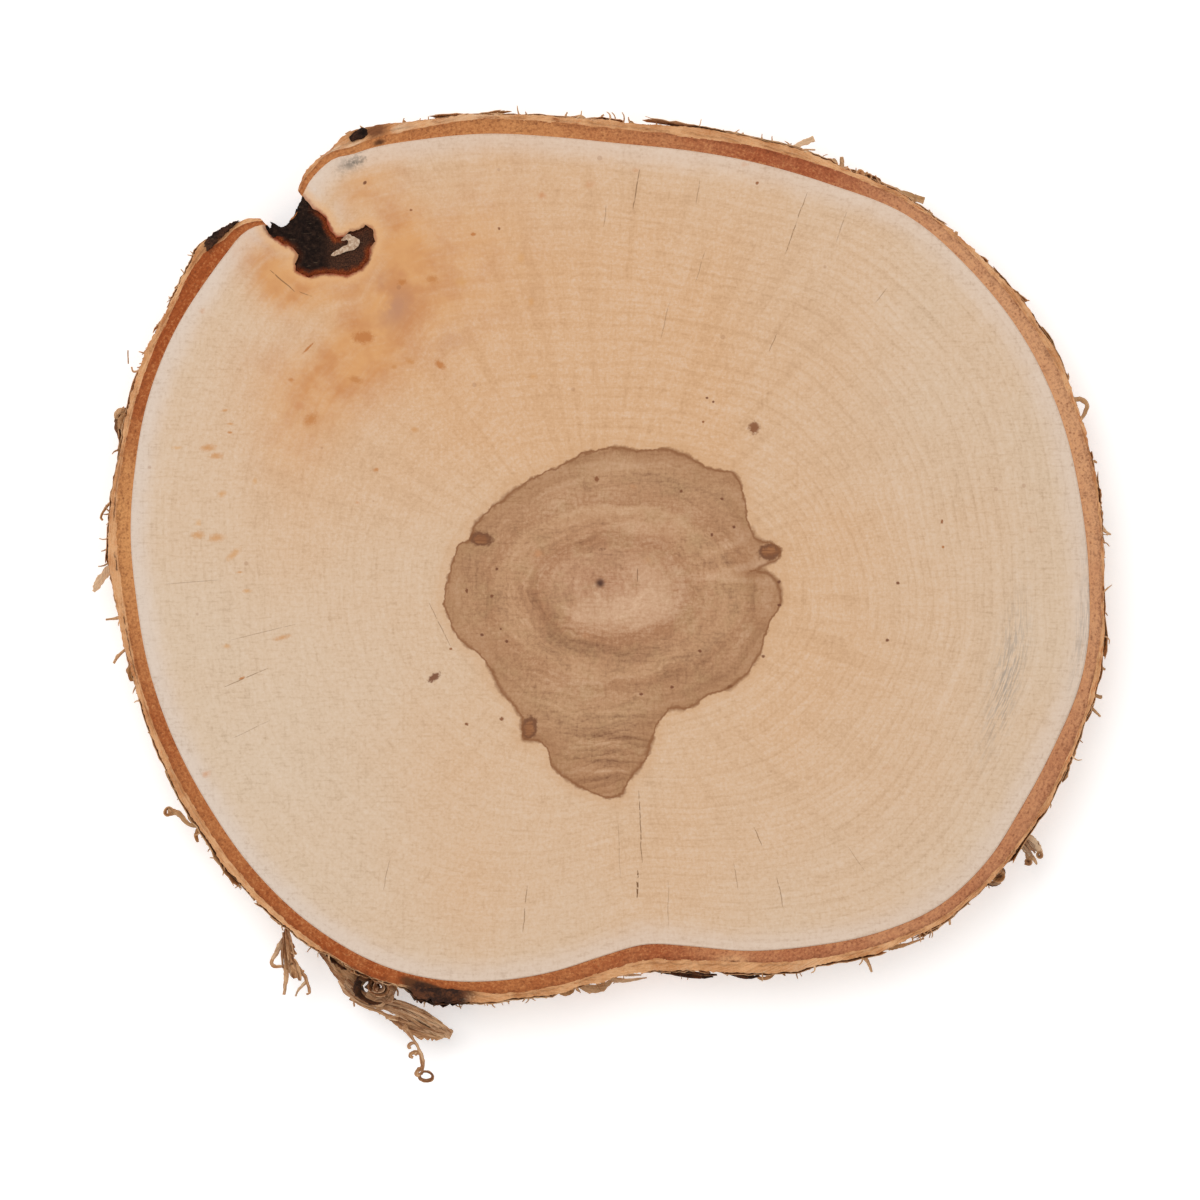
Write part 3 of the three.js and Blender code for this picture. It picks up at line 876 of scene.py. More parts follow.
# ---------------------------------------------------------------- wood
# (x, y, half length, half width, turn in degrees, how dark)
FLECKS = [
    (38.5, 38.8, 2.0, 1.6, 70, 0.85), (-41.5, -23.6, 2.4, 1.0, 35, 0.9), (-59.2, 61.4, 3.2, 1.8, 0, 0.6),
    (-73.0, 58.7, 2.2, 0.35, 45, 0.65), (-42.0, 76.0, 1.8, 1.2, -20, 0.5), (-49.5, 75.2, 1.4, 0.9, 0, 0.55),
    (-40.0, 54.5, 1.8, 1.0, -40, 0.55), (-47.5, 55.4, 1.4, 0.8, -30, 0.45), (-61.0, 50.8, 1.9, 1.0, -20, 0.5),
    (-72.2, 40.9, 2.3, 1.6, 40, 0.5), (-77.2, 50.8, 0.8, 0.6, 0, 0.5), (-46.3, 38.3, 1.0, 0.7, 0, 0.4),
    (-51.5, 54.0, 0.8, 0.6, 0, 0.45), (-17.2, 70.3, 0.8, 1.1, 0, 0.35), (-16.8, 51.6, 1.0, 0.7, 0, 0.35),
    (-31.7, 87.2, 0.7, 0.6, 0, 0.6), (-25.2, 88.6, 0.45, 0.45, 0, 0.85), (-19.7, 81.4, 0.9, 1.3, 0, 0.3),
    (-56.0, 28.3, 0.9, 0.5, 0, 0.5), (-58.8, 100.0, 0.8, 0.45, 50, 0.95), (-47.3, 93.3, 0.5, 0.4, 0, 0.8),
    (-98.0, 33.8, 2.2, 0.9, 5, 0.42), (-96.0, 31.8, 2.0, 0.8, 0, 0.42), (-100.5, 12.0, 1.8, 1.1, 0, 0.40),
    (-96.0, 11.3, 2.2, 1.1, 8, 0.40), (-91.6, 7.2, 2.2, 0.9, 42, 0.36), (-94.5, 22.3, 1.1, 0.8, 20, 0.36),
    (-88.3, -2.0, 1.2, 0.5, 0, 0.35), (-93.3, -15.8, 1.0, 0.6, 0, 0.35), (-105.8, 33.8, 1.2, 0.5, 0, 0.3),
    (-89.5, -23.8, 0.9, 0.4, 20, 0.6), (26.8, 46.3, 0.5, 0.4, 0, 0.9), (28.3, 45.3, 0.4, 0.35, 0, 0.9),
    (25.8, 40.3, 0.4, 0.35, 0, 0.8), (39.3, 100.0, 0.6, 0.5, 60, 0.8), (74.5, 0.0, 0.6, 0.5, 0, 0.9),
    (71.8, -14.3, 0.6, 0.5, 0, 0.9), (85.5, 15.3, 0.5, 0.7, 0, 0.8), (85.8, 9.0, 0.4, 0.4, 0, 0.7),
    (-24.5, -34.0, 0.7, 0.6, 0, 0.85), (-33.3, -35.3, 0.6, 0.5, 0, 0.85), (-37.3, -16.5, 0.6, 0.4, 0, 0.8),
    (33.5, 14.0, 0.55, 0.5, 0, 1.0), (28.0, 12.0, 0.5, 0.5, 0, 1.0),
    (30.5, 21.0, 0.5, 0.5, 0, 0.9), (20.3, 23.0, 0.5, 0.5, 0, 0.9), (-0.8, 26.0, 0.7, 0.9, 0, 0.85),
    (-25.8, 3.5, 0.55, 0.5, 0, 1.0), (-33.3, -2.0, 0.4, 0.8, 0, 0.9),
    (-27.0, -3.3, 0.6, 0.5, 0, 0.9), (-29.5, -13.0, 0.55, 0.5, 0, 1.0), (-23.3, -14.5, 0.6, 0.5, 0, 1.0),
    (-24.8, -11.5, 0.4, 0.4, 0, 0.9), (10.3, -27.8, 0.6, 0.5, 0, 0.9), (18.0, -26.0, 0.6, 0.5, 0, 0.9),
    (25.0, -17.0, 0.5, 0.5, 0, 0.9), (44.8, 0.3, 0.6, 0.5, 0, 1.0), (44.8, -5.5, 0.6, 0.5, 0, 1.0),
    (40.8, -18.3, 0.6, 0.5, 0, 0.9), (-34.6, 75.2, 1.6, 1.2, 0, 0.3),
    (-93.6, 43.2, 1.1, 0.35, 10, 0.42), (-92.4, 39.8, 0.8, 0.3, 0, 0.42), (-92.5, 37.6, 0.7, 0.35, 0, 0.5),
    (-90.0, 2.7, 0.9, 0.3, 0, 0.42), (-86.3, 25.5, 0.6, 0.8, 0, 0.3), (-79.4, -13.6, 2.2, 0.6, 15, 0.42),
    (-100.4, 15.0, 0.7, 1.0, 0, 0.28),
]
# (from x, y, to x, y, half width, how dark the painted shade in the crack is)
CHECKS = [
    (10.0, 103.5, 8.2, 93.3, 0.2, 0.7), (1.5, 94.5, 1.0, 89.0, 0.15, 0.45), (25.0, 100.8, 24.0, 94.5, 0.15, 0.4),
    (51.8, 97.8, 46.3, 82.0, 0.16, 0.65), (61.8, 92.8, 59.0, 85.3, 0.16, 0.4), (26.3, 83.3, 24.0, 75.3, 0.16, 0.4),
    (17.5, 70.5, 15.3, 61.0, 0.14, 0.4), (44.3, 62.3, 42.3, 57.8, 0.15, 0.5), (71.8, 73.8, 68.5, 69.8, 0.15, 0.4),
    (9.8, -51.8, 10.5, -70.0, 0.17, 0.75), (9.5, -71.8, 9.3, -78.8, 0.30, 1.0), (38.5, -61.0, 40.5, -66.0, 0.16, 0.6),
    (44.3, -73.5, 45.8, -81.0, 0.16, 0.6), (33.3, -70.0, 34.5, -76.8, 0.14, 0.4), (17.0, -74.3, 17.0, -86.0, 0.13, 0.35),
    (-18.3, -75.5, -19.3, -87.3, 0.17, 0.6), (-52.5, -69.3, -54.3, -76.8, 0.14, 0.4), (4.5, -60.0, 5.0, -74.0, 0.12, 0.3),
    (-82.5, 78.3, -76.3, 72.8, 0.2, 0.75), (-77.3, 73.6, -72.0, 71.6, 0.16, 0.5), (9.4, 4.0, 9.4, 0.3, 0.2, 0.7),
    (-93.8, -26.0, -83.0, -21.3, 0.14, 0.6), (-108.8, -0.3, -95.0, 0.8, 0.12, 0.35), (-92.5, -14.3, -76.0, -10.3, 0.12, 0.35),
    (-91.8, -38.8, -82.5, -34.3, 0.12, 0.35), (-42.8, -4.8, -37.4, -16.0, 0.15, 0.5), (62.0, -66.0, 66.5, -72.5, 0.12, 0.3),
]
# (x, y, radius, how warm)
WARM_PATCHES = [
    (-20, 75, 60, 0.50), (35, 70, 70, 0.42), (-60, 55, 40, 0.40), (10, 35, 55, 0.35), (60, -15, 40, 0.42),
    (55, -60, 45, 0.30), (-10, 50, 40, 0.15), (-80, 20, 25, 0.18), (-25, -45, 35, 0.30), (15, -75, 30, 0.25),
    (-35, -80, 18, 0.35), (-20, -60, 60, 0.16), (50, -20, 60, 0.10), (-85, 25, 30, 0.14),
]
# (x, y, half length, half width, turn in degrees, how orange)
STAINS = [
    (-82.5, 79.5, 10, 5.5, -40, 0.75), (-71.0, 73.5, 14, 5.5, 5, 0.70), (-51.5, 87.0, 8, 13, 0, 0.68),
    (-59.5, 99.0, 9, 5.5, 35, 0.55), (-58.5, 61.0, 13, 7.5, 50, 0.70), (-68.0, 50.0, 14, 10, 60, 0.46),
    (-46.0, 66.0, 22, 11, 50, 0.42), (-38.0, 86.0, 22, 12, 55, 0.32), (-55.0, 50.0, 9, 7, 45, 0.16), (-80.0, 52.0, 9, 10, 60, 0.26),
    (-76.0, 38.0, 14, 9.0, 70, 0.26), (-24.0, 72.0, 26, 14, 60, 0.14),
    (-80.5, 70.5, 5.5, 4.5, -30, 0.30), (-48.0, 88.0, 4.5, 9.0, 10, 0.18),
]
# (x, y, half length, half width, turn in degrees, how dark, or light below zero)
HEART_TONES = [
    (11.5, -5.5, 12, 6.0, 12, -0.50), (-1.0, -7.5, 8, 4.0, 0, -0.26), (-0.5, 7.5, 6, 4.5, 0, 0.14),
    (36.0, 3.9, 9, 1.1, 12, -0.60), (34.0, 0.9, 9, 0.9, -4, -0.45), (31.0, 9.0, 8, 1.1, 24, -0.40),
    (38.5, -4.5, 1.6, 7.5, 8, 0.26), (33.0, -3.0, 1.3, 8.0, 6, 0.20), (3.0, 29.0, 14, 1.4, 3, -0.45),
    (-8.0, 24.5, 9, 1.1, 20, -0.22), (4.0, -38.5, 12, 0.8, -6, 0.45), (4.0, -41.5, 10, 0.7, 8, 0.42),
    (2.5, -45.0, 9, 0.7, -4, 0.46), (1.0, -48.6, 7, 0.7, 6, 0.42),
    (5.0, -36.0, 12, 0.6, 3, 0.34), (3.0, -40.1, 10, 0.8, 0, -0.30), (2.0, -46.8, 8, 0.9, 0, -0.30), (0.0, -50.6, 5, 0.5, 8, 0.40), (-6.0, 13.5, 12, 1.0, 12, 0.20),
    (-14.5, -8.5, 8, 3.0, -55, 0.30), (-3.0, -16.0, 11, 2.8, -12, 0.42), (12.0, -16.0, 8, 2.6, 25, 0.28),
    (24.0, -21.0, 14, 7.0, 35, 0.22), (32.0, 14.0, 9, 12, 20, 0.10), (0.0, 28.0, 26, 5.0, 0, 0.20),
    (-31.0, 2.0, 6, 14, 10, 0.16), (8.0, 17.0, 16, 6.0, -10, -0.12), (-17.0, -26.0, 12, 4, -50, 0.12),
    (-4.0, -27.0, 16, 3.0, -5, -0.14), (5.0, -33.5, 16, 1.6, 0, 0.22), (17.0, 24.0, 9, 2.0, -15, 0.16),
]
# knots and bud traces in the heart
KNOTS = [
    (-29.8, 11.0, 3.3, 1.9, -8, 1.0), (42.4, 7.8, 3.2, 2.2, 8, 1.0), (-17.7, -36.3, 2.2, 3.2, -14, 1.0),
    (32.9, -26.4, 2.0, 1.3, -20, 0.7), (0.5, 8.3, 1.5, 1.1, 0, 0.5),
]
# where the heart's fine rings stand out: (x, y, half length, half width, turn in degrees, how much)
RINGED = [
    (3.0, -44.0, 14, 10, 0, 0.85), (2.0, -15.0, 20, 4, 0, 0.45), (-6.0, -30.0, 18, 6, -10, 0.35),
    (27.0, 2.0, 5, 14, 0, 0.35), (-20.0, -2.0, 5, 16, 10, 0.35), (4.0, 9.0, 16, 3, 0, 0.25),
]
# (x, y, half length, half width, turn in degrees, how strong)
GREY_SMEARS = [
    (-61.6, 105.2, 3.6, 1.5, 24, 0.95), (-57.6, 106.6, 2.6, 1.4, 20, 0.55), (-66.5, 101.0, 2.0, 1.0, 40, 0.35),
]
VIOLET_SMEARS = [(-51.0, 68.6, 5.0, 3.4, 55, 0.75), (-54.5, 76.0, 2.4, 1.4, 60, 0.45), (-37.0, 61.0, 5.0, 2.6, 40, 0.25)]
BLEACHED = [
    (-71.4, 97.2, 3.6, 2.2, 42, 0.75), (-66.4, 92.8, 3.4, 1.8, 40, 0.50), (-62.0, 106.0, 7.0, 2.0, 20, 0.45),
    (-88.0, 86.0, 9.0, 3.0, -45, 0.45),
]
# where the rot has turned rust red against sound wood
RUSTY = [
    (-69.0, 89.8, 3.6, 1.8, -58, 1.0), (-65.2, 85.4, 2.4, 1.6, 0, 1.0), (-80.6, 85.6, 5.0, 1.6, -32, 0.9),
    (-71.6, 77.8, 6.0, 1.8, 0, 0.9), (-61.6, 78.4, 4.5, 1.8, 14, 0.9), (-58.2, 82.0, 1.6, 3.2, 0, 0.9),
]


def patches(x, y, listed):
    total = np.zeros_like(x)
    for px, py, radius, amount in listed:
        total += amount * np.exp(-((x - px) ** 2 + (y - py) ** 2) / radius**2)
    return total


def ovals(x, y, listed):
    total = np.zeros_like(x)
    for px, py, long, wide, turned, amount in listed:
        c, s = math.cos(math.radians(turned)), math.sin(math.radians(turned))
        along, across = (x - px) * c + (y - py) * s, (y - py) * c - (x - px) * s
        total += amount * np.exp(-((along / long) ** 2) - (across / wide) ** 2)
    return total


def nearest_marks(x, y, centres, spread):
    """Which mark each point is nearest to, and whether it is near enough to carry it."""
    centres = np.array(centres, float)
    far = np.hypot(x[:, None] - centres[None, :, 0], y[:, None] - centres[None, :, 1])
    which = far.argmin(1)
    return which, far[np.arange(len(x)), which] < np.array(spread)[which]


def mark_wood(piece):
    """Gives every point of the wood its ring, its distances and its nearest marks."""
    x, y, _ = places(piece).T
    turns, reach = np.arctan2(y, x), np.hypot(x, y)
    give(piece, "growth", growth_at(x, y))
    give(piece, "heart", signed_distance(x, y, heart_outline))
    give(piece, "seam", signed_distance(x, y, seam_outline))
    give(piece, "heart_tone", ovals(x, y, HEART_TONES))
    give(piece, "knot", ovals(x, y, KNOTS))
    give(piece, "smear", ovals(x, y, GREY_SMEARS))
    give(piece, "violet", ovals(x, y, VIOLET_SMEARS))
    give(piece, "bleached", ovals(x, y, BLEACHED))
    give(piece, "ringed", ovals(x, y, RINGED))
    give(piece, "rusty", ovals(x, y, RUSTY))
    give(piece, "rim", smooth_reach(WOOD_REACH, turns) - reach)
    give(piece, "warm", np.clip(patches(x, y, WARM_PATCHES), 0, 1.2))
    give(piece, "stain", np.clip(ovals(x, y, STAINS), 0, 0.95))
    degrees = np.degrees(turns) % 360
    from_side = np.abs((degrees - 347 + 180) % 360 - 180)
    streak = np.exp(-(((reach - 104.5 - 0.05 * from_side) / 3.2) ** 2)) * np.exp(-((from_side / 9) ** 2))
    by_bark = np.exp(-(((reach - 121.5) / 1.3) ** 2)) * np.exp(-((((degrees - 355 + 180) % 360 - 180) / 8) ** 2))
    give(piece, "grey", streak + by_bark)

    # each face carries its nearest fleck and its nearest check
    x, y, _ = face_places(piece).T
    centres = [(f[0], f[1]) for f in FLECKS]
    gaps = [min(math.dist(a, b) for b in centres if b != a) for a in centres]
    spread = [min(0.9 * gap, 3.0 + 1.6 * f[2]) for gap, f in zip(gaps, FLECKS)]
    which, near = nearest_marks(x, y, centres, spread)
    listed = np.array(FLECKS)[which]
    placed = np.stack([listed[:, 0], listed[:, 1], np.radians(listed[:, 4])], 1)
    give(piece, "fleck", placed, "FLOAT_VECTOR", "FACE")
    sized = np.stack([listed[:, 2], listed[:, 3], listed[:, 5]], 1) * near[:, None]
    give(piece, "fleck_size", sized, "FLOAT_VECTOR", "FACE")

    cracks = np.array(CHECKS)
    gap = np.full((len(x), len(cracks)), 1e9)
    for k, (ax, ay, bx, by, _, _) in enumerate(cracks):
        ex, ey = bx - ax, by - ay
        share = np.clip(((x - ax) * ex + (y - ay) * ey) / (ex * ex + ey * ey), 0, 1)
        gap[:, k] = np.hypot(x - ax - share * ex, y - ay - share * ey)
    which = gap.argmin(1)
    near = gap.min(1) < 3.0
    listed = cracks[which]
    starts = np.stack([listed[:, 0], listed[:, 1], listed[:, 4] * near], 1)
    give(piece, "check_from", starts, "FLOAT_VECTOR", "FACE")
    ends = np.stack([listed[:, 2], listed[:, 3], listed[:, 5]], 1)
    give(piece, "check_to", ends, "FLOAT_VECTOR", "FACE")


def model_wood():
    """The disc of wood: a profile spun round the pith, drawn out ring by ring to the trunk's shape."""
    upper = [0.0, 0.5, 1.3] + list(np.arange(2.4, 57.0, 1.2)) + list(np.arange(57.0, MEAN_REACH - 0.8, 1.55))
    lower = [0.0, 1.0] + list(np.arange(2.5, MEAN_REACH - 1.0, 2.0))
    profile = [(g, TOP) for g in upper] + [(MEAN_REACH - 0.35, TOP), (MEAN_REACH, TOP - 0.3)]
    profile += [(MEAN_REACH, z) for z in (20.0, 14.0, 8.0, 0.3)]
    profile += [(MEAN_REACH - 0.35, 0.0)] + [(g, 0.0) for g in reversed(lower)]
    piece = spin_profile("wood", profile, 400)
    x, y, z = places(piece).T
    turns, growth = np.arctan2(y, x), np.hypot(x, y)
    reach = ring_reach(turns, growth)
    put(piece, np.stack([reach * np.cos(turns), reach * np.sin(turns), z], 1))
    opening = NOTCH_MOUTH + ROTTEN_SEAM[:-1]
    cutter = prism("notch_and_seam", crumbled(opening, 0.45, 0.28, 3.0), -2.0, TOP + 2.0)
    cut_away(piece, cutter)
    throw_away(cutter)
    mark_wood(piece)
    finished(piece, SAWN, math.radians(30))
    return piece


# ---------------------------------------------------------------- bark
# Where the outer bark is charred or rotten: degrees, half width in degrees, how dark
DARK_PATCHES = [
    (248.4, 4.9, 1.25), (101.5, 2.0, 0.35), (172.0, 1.5, 0.1), (146.0, 1.0, 0.4), (160.5, 2.0, 0.4),
    (327.0, 0.8, 0.5), (128.3, 0.8, 0.6), (283.0, 3.0, 0.3),
]
# (x, y, half length, half width, turn in degrees, darker, or paler below zero)
BARK_TONES = [
    (-55.8, 113.0, 3.8, 2.0, 18, 1.6), (-51.4, 113.6, 3.6, 1.3, 14, -0.8), (-60.8, 109.9, 4.6, 0.9, 24, -0.8),
    (-95.4, 86.6, 5.5, 1.5, 44, 1.2), (-93.0, 86.2, 5.0, 0.4, 42, -1.3), (-30.0, 117.0, 12, 1.0, 8, -0.4), (-67.4, 107.6, 3.0, 0.5, 40, -0.9),
    (50.5, -96.6, 4.0, 1.6, 14, -0.3), (-36.0, -104.4, 2.6, 1.0, 6, -0.9),
]
NOTCH_CUT = [
    (-73.4, 95.3), (-74.5, 96.9), (-75.8, 98.4), (-78.0, 102.0), (-84.0, 118.0), (-100.0, 104.0),
    (-92.0, 98.4), (-86.9, 93.6), (-84.8, 91.2), (-83.6, 89.6), (-80.0, 88.0),
]


def darkness(degrees):
    total = np.zeros_like(degrees)
    for middle, wide, amount in DARK_PATCHES:
        total += amount * np.exp(-((((degrees - middle + 180) % 360 - 180) / wide) ** 2))
    return total


# How red the inner bark is: degrees, 0 pale tan to 1 dark red-brown
REDNESS = [
    (0, 0.16), (20, 0.02), (46, 0.12), (52, 0.40), (58, 0.80), (64, 0.98), (70, 1.02), (76, 0.80), (82, 0.62),
    (90, 0.52), (100, 0.36), (112, 0.55), (120, 0.40), (126, 0.60), (134, 0.85), (140, 1.05), (152, 1.05),
    (160, 0.80), (166, 0.40), (172, 0.14), (181, 0.28), (188, 0.60), (200, 0.85), (212, 0.65), (222, 0.80),
    (235, 0.95), (246, 0.95), (252, 0.80), (260, 0.72), (272, 0.85), (280, 0.90), (289, 0.58), (300, 0.75),
    (309, 0.40), (320, 0.58), (330, 0.42), (340, 0.48), (350, 0.22),
]
PALE_KNOTS = [(33.0, -94.9, 3.4, 1.6, 0, 1.2)]
# (x, y, half length, half width, turn in degrees, how dark)
SPOILED_BARK = [
    (-55.2, 110.2, 2.4, 1.1, 15, 0.9), (-96.5, 84.0, 1.2, 5.0, -35, 0.5), (-41.0, -102.8, 9.0, 2.0, -22, 1.8),
    (-28.0, 113.8, 5.0, 0.7, 8, 0.45), (22.0, -94.6, 3.0, 0.8, 0, 0.3), (33.4, -95.2, 0.8, 0.9, 0, 1.0),
    (-40.8, 112.6, 3.0, 1.0, 14, 0.4),
]


def ring_profile(top, steps_across, steps_down, band=100.0):
    """A closed band profile: its first mm outwards stands for the bark's whole thickness."""
    across = np.linspace(0, 1, steps_across + 1)
    down = np.linspace(top, TOP - top, steps_down + 1)[1:]
    profile = [(band + u, top) for u in across]
    profile += [(band + 1, z) for z in down]
    profile += [(band + u, TOP - top) for u in across[::-1][1:]]
    return profile + [(band, top)]


def model_inner_bark():
    piece = spin_profile("inner_bark", ring_profile(INNER_BARK_TOP, 9, 6), 720)
    x, y, z = places(piece).T
    turns, depth = np.arctan2(y, x), np.clip(np.hypot(x, y) - 100.0, 0, 1)
    way = np.stack([np.cos(turns), np.sin(turns), z * 0], 1)
    low, high = smooth_reach(WOOD_REACH, turns) - 0.35, smooth_reach(INNER_REACH, turns) + 0.15
    reach = low + depth * (high - low) + noise_over(way, 26.0, 5.0) * 0.22 * depth
    fibre = noise_over(way * (40.0 + 9.0 * depth[:, None]) + depth[:, None] * 2.5, 1.0, 9.0) * 0.16
    crown = -0.12 - 0.25 * (2 * depth - 1) ** 4 + fibre
    lift = np.where(z > TOP / 2, 1, -1) * crown * ((z > TOP - 1) | (z < 1))
    put(piece, np.stack([reach * np.cos(turns), reach * np.sin(turns), z + lift], 1))
    cutter = prism("notch", crumbled(NOTCH_CUT, 0.5, 0.3, 7.0), -2.0, TOP + 2.0)
    cut_away(piece, cutter)
    throw_away(cutter)
    x, y, z = places(piece).T
    turns, reach = np.arctan2(y, x), np.hypot(x, y)
    low, high = smooth_reach(WOOD_REACH, turns), smooth_reach(INNER_REACH, turns)
    degrees = np.degrees(turns) % 360
    give(piece, "depth", np.clip((reach - low) / (high - low), 0, 1))
    give(piece, "red", np.interp(degrees, *zip(*REDNESS), period=360) - ovals(x, y, PALE_KNOTS))
    give(piece, "spoiled", ovals(x, y, SPOILED_BARK))
    finished(piece, INNER)
    return piece


def bark_wall(turns, z):
    """The ragged outside of the outer bark: how far out it is at a turn and height."""
    way = np.stack([np.cos(turns) * 115, np.sin(turns) * 115, z], 1)
    plates = noise_over(way * (1, 1, 0.35), 0.11, 2.0, 2) * 0.55
    paper = noise_over(way * (1, 1, 4.0), 0.22, 4.0, 3) * 0.30
    ragged = noise_over(way * (1, 1, 0.6), 1.1, 6.0, 3) * 0.30
    lump = darkness(np.degrees(turns) % 360) * noise_over(way, 0.5, 8.0) * 0.9
    return smooth_reach(OUTER_REACH, turns) - 0.15 + plates + paper + ragged + lump


def model_outer_bark():
    piece = spin_profile("outer_bark", ring_profile(OUTER_BARK_TOP, 5, 16), 1200)
    x, y, z = places(piece).T
    turns, depth = np.arctan2(y, x), np.clip(np.hypot(x, y) - 100.0, 0, 1)
    way = np.stack([np.cos(turns), np.sin(turns), z * 0], 1)
    low = smooth_reach(INNER_REACH, turns) + noise_over(way, 26.0, 5.0) * 0.22 - 0.05
    high = np.maximum(bark_wall(turns, z), low + 0.35)
    reach = low + depth * (high - low)
    torn = noise_over(way * 60.0 + depth[:, None] * 3.0, 1.0, 11.0) * 0.42 - 0.25 * depth
    lift = np.where(z > TOP / 2, 1, -1) * torn * ((z > TOP - 1.5) | (z < 1.5))
    put(piece, np.stack([reach * np.cos(turns), reach * np.sin(turns), z + lift], 1))
    cutter = prism("notch", crumbled(NOTCH_CUT, 0.5, 0.3, 7.0), -2.0, TOP + 2.0)
    cut_away(piece, cutter)
    throw_away(cutter)
    x, y, z = places(piece).T
    turns, reach = np.arctan2(y, x), np.hypot(x, y)
    low, high = smooth_reach(INNER_REACH, turns), smooth_reach(OUTER_REACH, turns)
    give(piece, "dark", darkness(np.degrees(turns) % 360) * soft_step(z, 4, 18))
    give(piece, "tint", ovals(x, y, BARK_TONES) * soft_step(z, 16, 22))
    # split marks where the painted shade of a gap between the sheets goes, near the top only
    give(piece, "split", ((reach - low) / (high - low) - 0.35) * (z > TOP - 2.0))
    finished(piece, OUTER)
    return piece


# ---------------------------------------------------------------- peeling bark
def smooth_line(points, shares):
    """A smooth open curve through points, read off at shares of its length from 0 to 1."""
    points = np.array(points, float)
    points = np.vstack([2 * points[0] - points[1], points, 2 * points[-1] - points[-2]])
    spans = len(points) - 3
    place = np.clip(shares, 0, 1) * spans
    step = np.minimum(place.astype(int), spans - 1)
    s = (place - step)[:, None]
    before, here, there, after = (points[step + k] for k in range(4))
    return 0.5 * (
        2 * here
        + (there - before) * s
        + (2 * before - 5 * here + 4 * there - after) * s**2
        + (3 * here - before - 3 * there + after) * s**3
    )


def sheet_blank(name, along, across):
    """A flat grid that every strip of one kind is copied from."""
    bpy.ops.object.select_all(action="DESELECT")
    bpy.ops.mesh.primitive_grid_add(x_subdivisions=along, y_subdivisions=across, size=MM)
    blank = bpy.context.active_object
    blank.name = name
    return blank


def copy_of(blank):
    piece = blank.copy()
    piece.data = blank.data.copy()
    bpy.context.scene.collection.objects.link(piece)
    return piece


def lay_strip(blank, line, wide, lean=0.0, curl=0.0, ragged=0.25, seed=0.0, dark=0.0, pale=0.0, tint=0.0):
    """A strip of bark along a line. wide is its width at places along it, lean turns it from
    standing (0) to lying flat (90), and curl is how far it has rolled up across its width."""
    piece = copy_of(blank)
    u, v, _ = (places(blank) + 0.5).T
    line = [(*p, 15.0) if len(p) == 2 else p for p in line]
    at = smooth_line(line, u)
    ahead = smooth_line(line, np.minimum(u + 0.02, 1.0)) - smooth_line(line, np.maximum(u - 0.02, 0.0))
    ahead /= np.linalg.norm(ahead, axis=1)[:, None] + 1e-9
    up = np.array([0.0, 0.0, 1.0])
    side = np.cross(ahead, up)
    side /= np.linalg.norm(side, axis=1)[:, None] + 1e-9
    leans = np.radians(np.interp(u, np.linspace(0, 1, np.size(lean)), np.atleast_1d(lean)))[:, None]
    width = np.interp(u, np.linspace(0, 1, np.size(wide)), np.atleast_1d(wide))
    length = sum(math.dist(a, b) for a, b in zip(line, line[1:]))
    edge_noise = np.array([noise.fractal((s * length * 0.9, 7.0 * round(t), seed), 1.0, 2.0, 3) for s, t in zip(u, v)])
    wave = np.array([noise.fractal((s * length * 0.35, t * 1.5, seed + 30.0), 1.0, 2.0, 2) for s, t in zip(u, v)])
    width = width * (1 + ragged * edge_noise)
    across = up * np.cos(leans) + side * np.sin(leans)
    face = np.cross(ahead, across)
    roll = np.radians(max(curl, 4.0))
    angle = (v - 0.5) * roll
    radius = (width / roll * (1 + 0.12 * v))[:, None]
    points = at + across * radius * np.sin(angle)[:, None] + face * radius * (1 - np.cos(angle))[:, None]
    points += face * (0.05 * length**0.5 * wave)[:, None]
    points[:, 2] = np.clip(points[:, 2], 0.8, TOP - 0.9)
    put(piece, points)
    ones = np.ones(len(points))
    give(piece, "dark", ones * dark)
    give(piece, "pale", ones * pale)
    give(piece, "tint", ones * tint)
    give(piece, "grain", np.stack([u * length, v * width, ones * seed * 5.3], 1), "FLOAT_VECTOR")
    return piece


def fray(blank, line, strands, spread, seed, wide=(0.4, 1.0), dark=0.0, pale=0.0, lift=1.2, reach=(0.7, 1.0)):
    """A bundle of narrow strands laid side by side along a line, each starting and ending by chance."""
    chance = np.random.default_rng(seed)
    line = np.array([(*p, 15.0) if len(p) == 2 else p for p in line], float)
    made = []
    for k in range(strands):
        first, last = chance.uniform(0, 0.22), chance.uniform(*reach)
        shares = np.linspace(first, last, 6)
        at = smooth_line(line, shares)
        ahead = smooth_line(line, np.minimum(shares + 0.03, 1)) - smooth_line(line, np.maximum(shares - 0.03, 0))
        side = np.stack([-ahead[:, 1], ahead[:, 0]], 1)
        side /= np.linalg.norm(side, axis=1)[:, None]
        room = np.interp(shares, np.linspace(0, 1, len(spread)), spread)
        off = ((k + 0.5) / strands - 0.5 + chance.normal(0, 0.05, 6)) * room
        at[:, :2] += side * off[:, None]
        at[:, 2] += chance.uniform(-lift, lift)
        breadth = chance.uniform(*wide)
        widths = (0.6 * breadth, breadth, breadth, 0.3 * breadth)
        look = (dark * chance.uniform(0.3, 1.6), pale * chance.uniform(0, 2), chance.uniform(-0.35, 0.85))
        made.append(lay_strip(blank, [tuple(p) for p in at], widths, chance.uniform(35, 88), 30, 0.4, seed + k, *look))
    return made


def scroll(x, y, z, first, last, turns, start):
    """Points on a rolled-up edge, from the outside in."""
    count = max(5, round(turns * 9))
    made = []
    for k in range(count + 1):
        share = k / count
        angle = math.radians(start) + share * turns * TAU
        radius = (first + (last - first) * share) * (1 + 0.16 * math.sin(2.3 * angle + x))
        made.append((x + radius * math.cos(angle), y + radius * 0.85 * math.sin(angle), z))
    return made


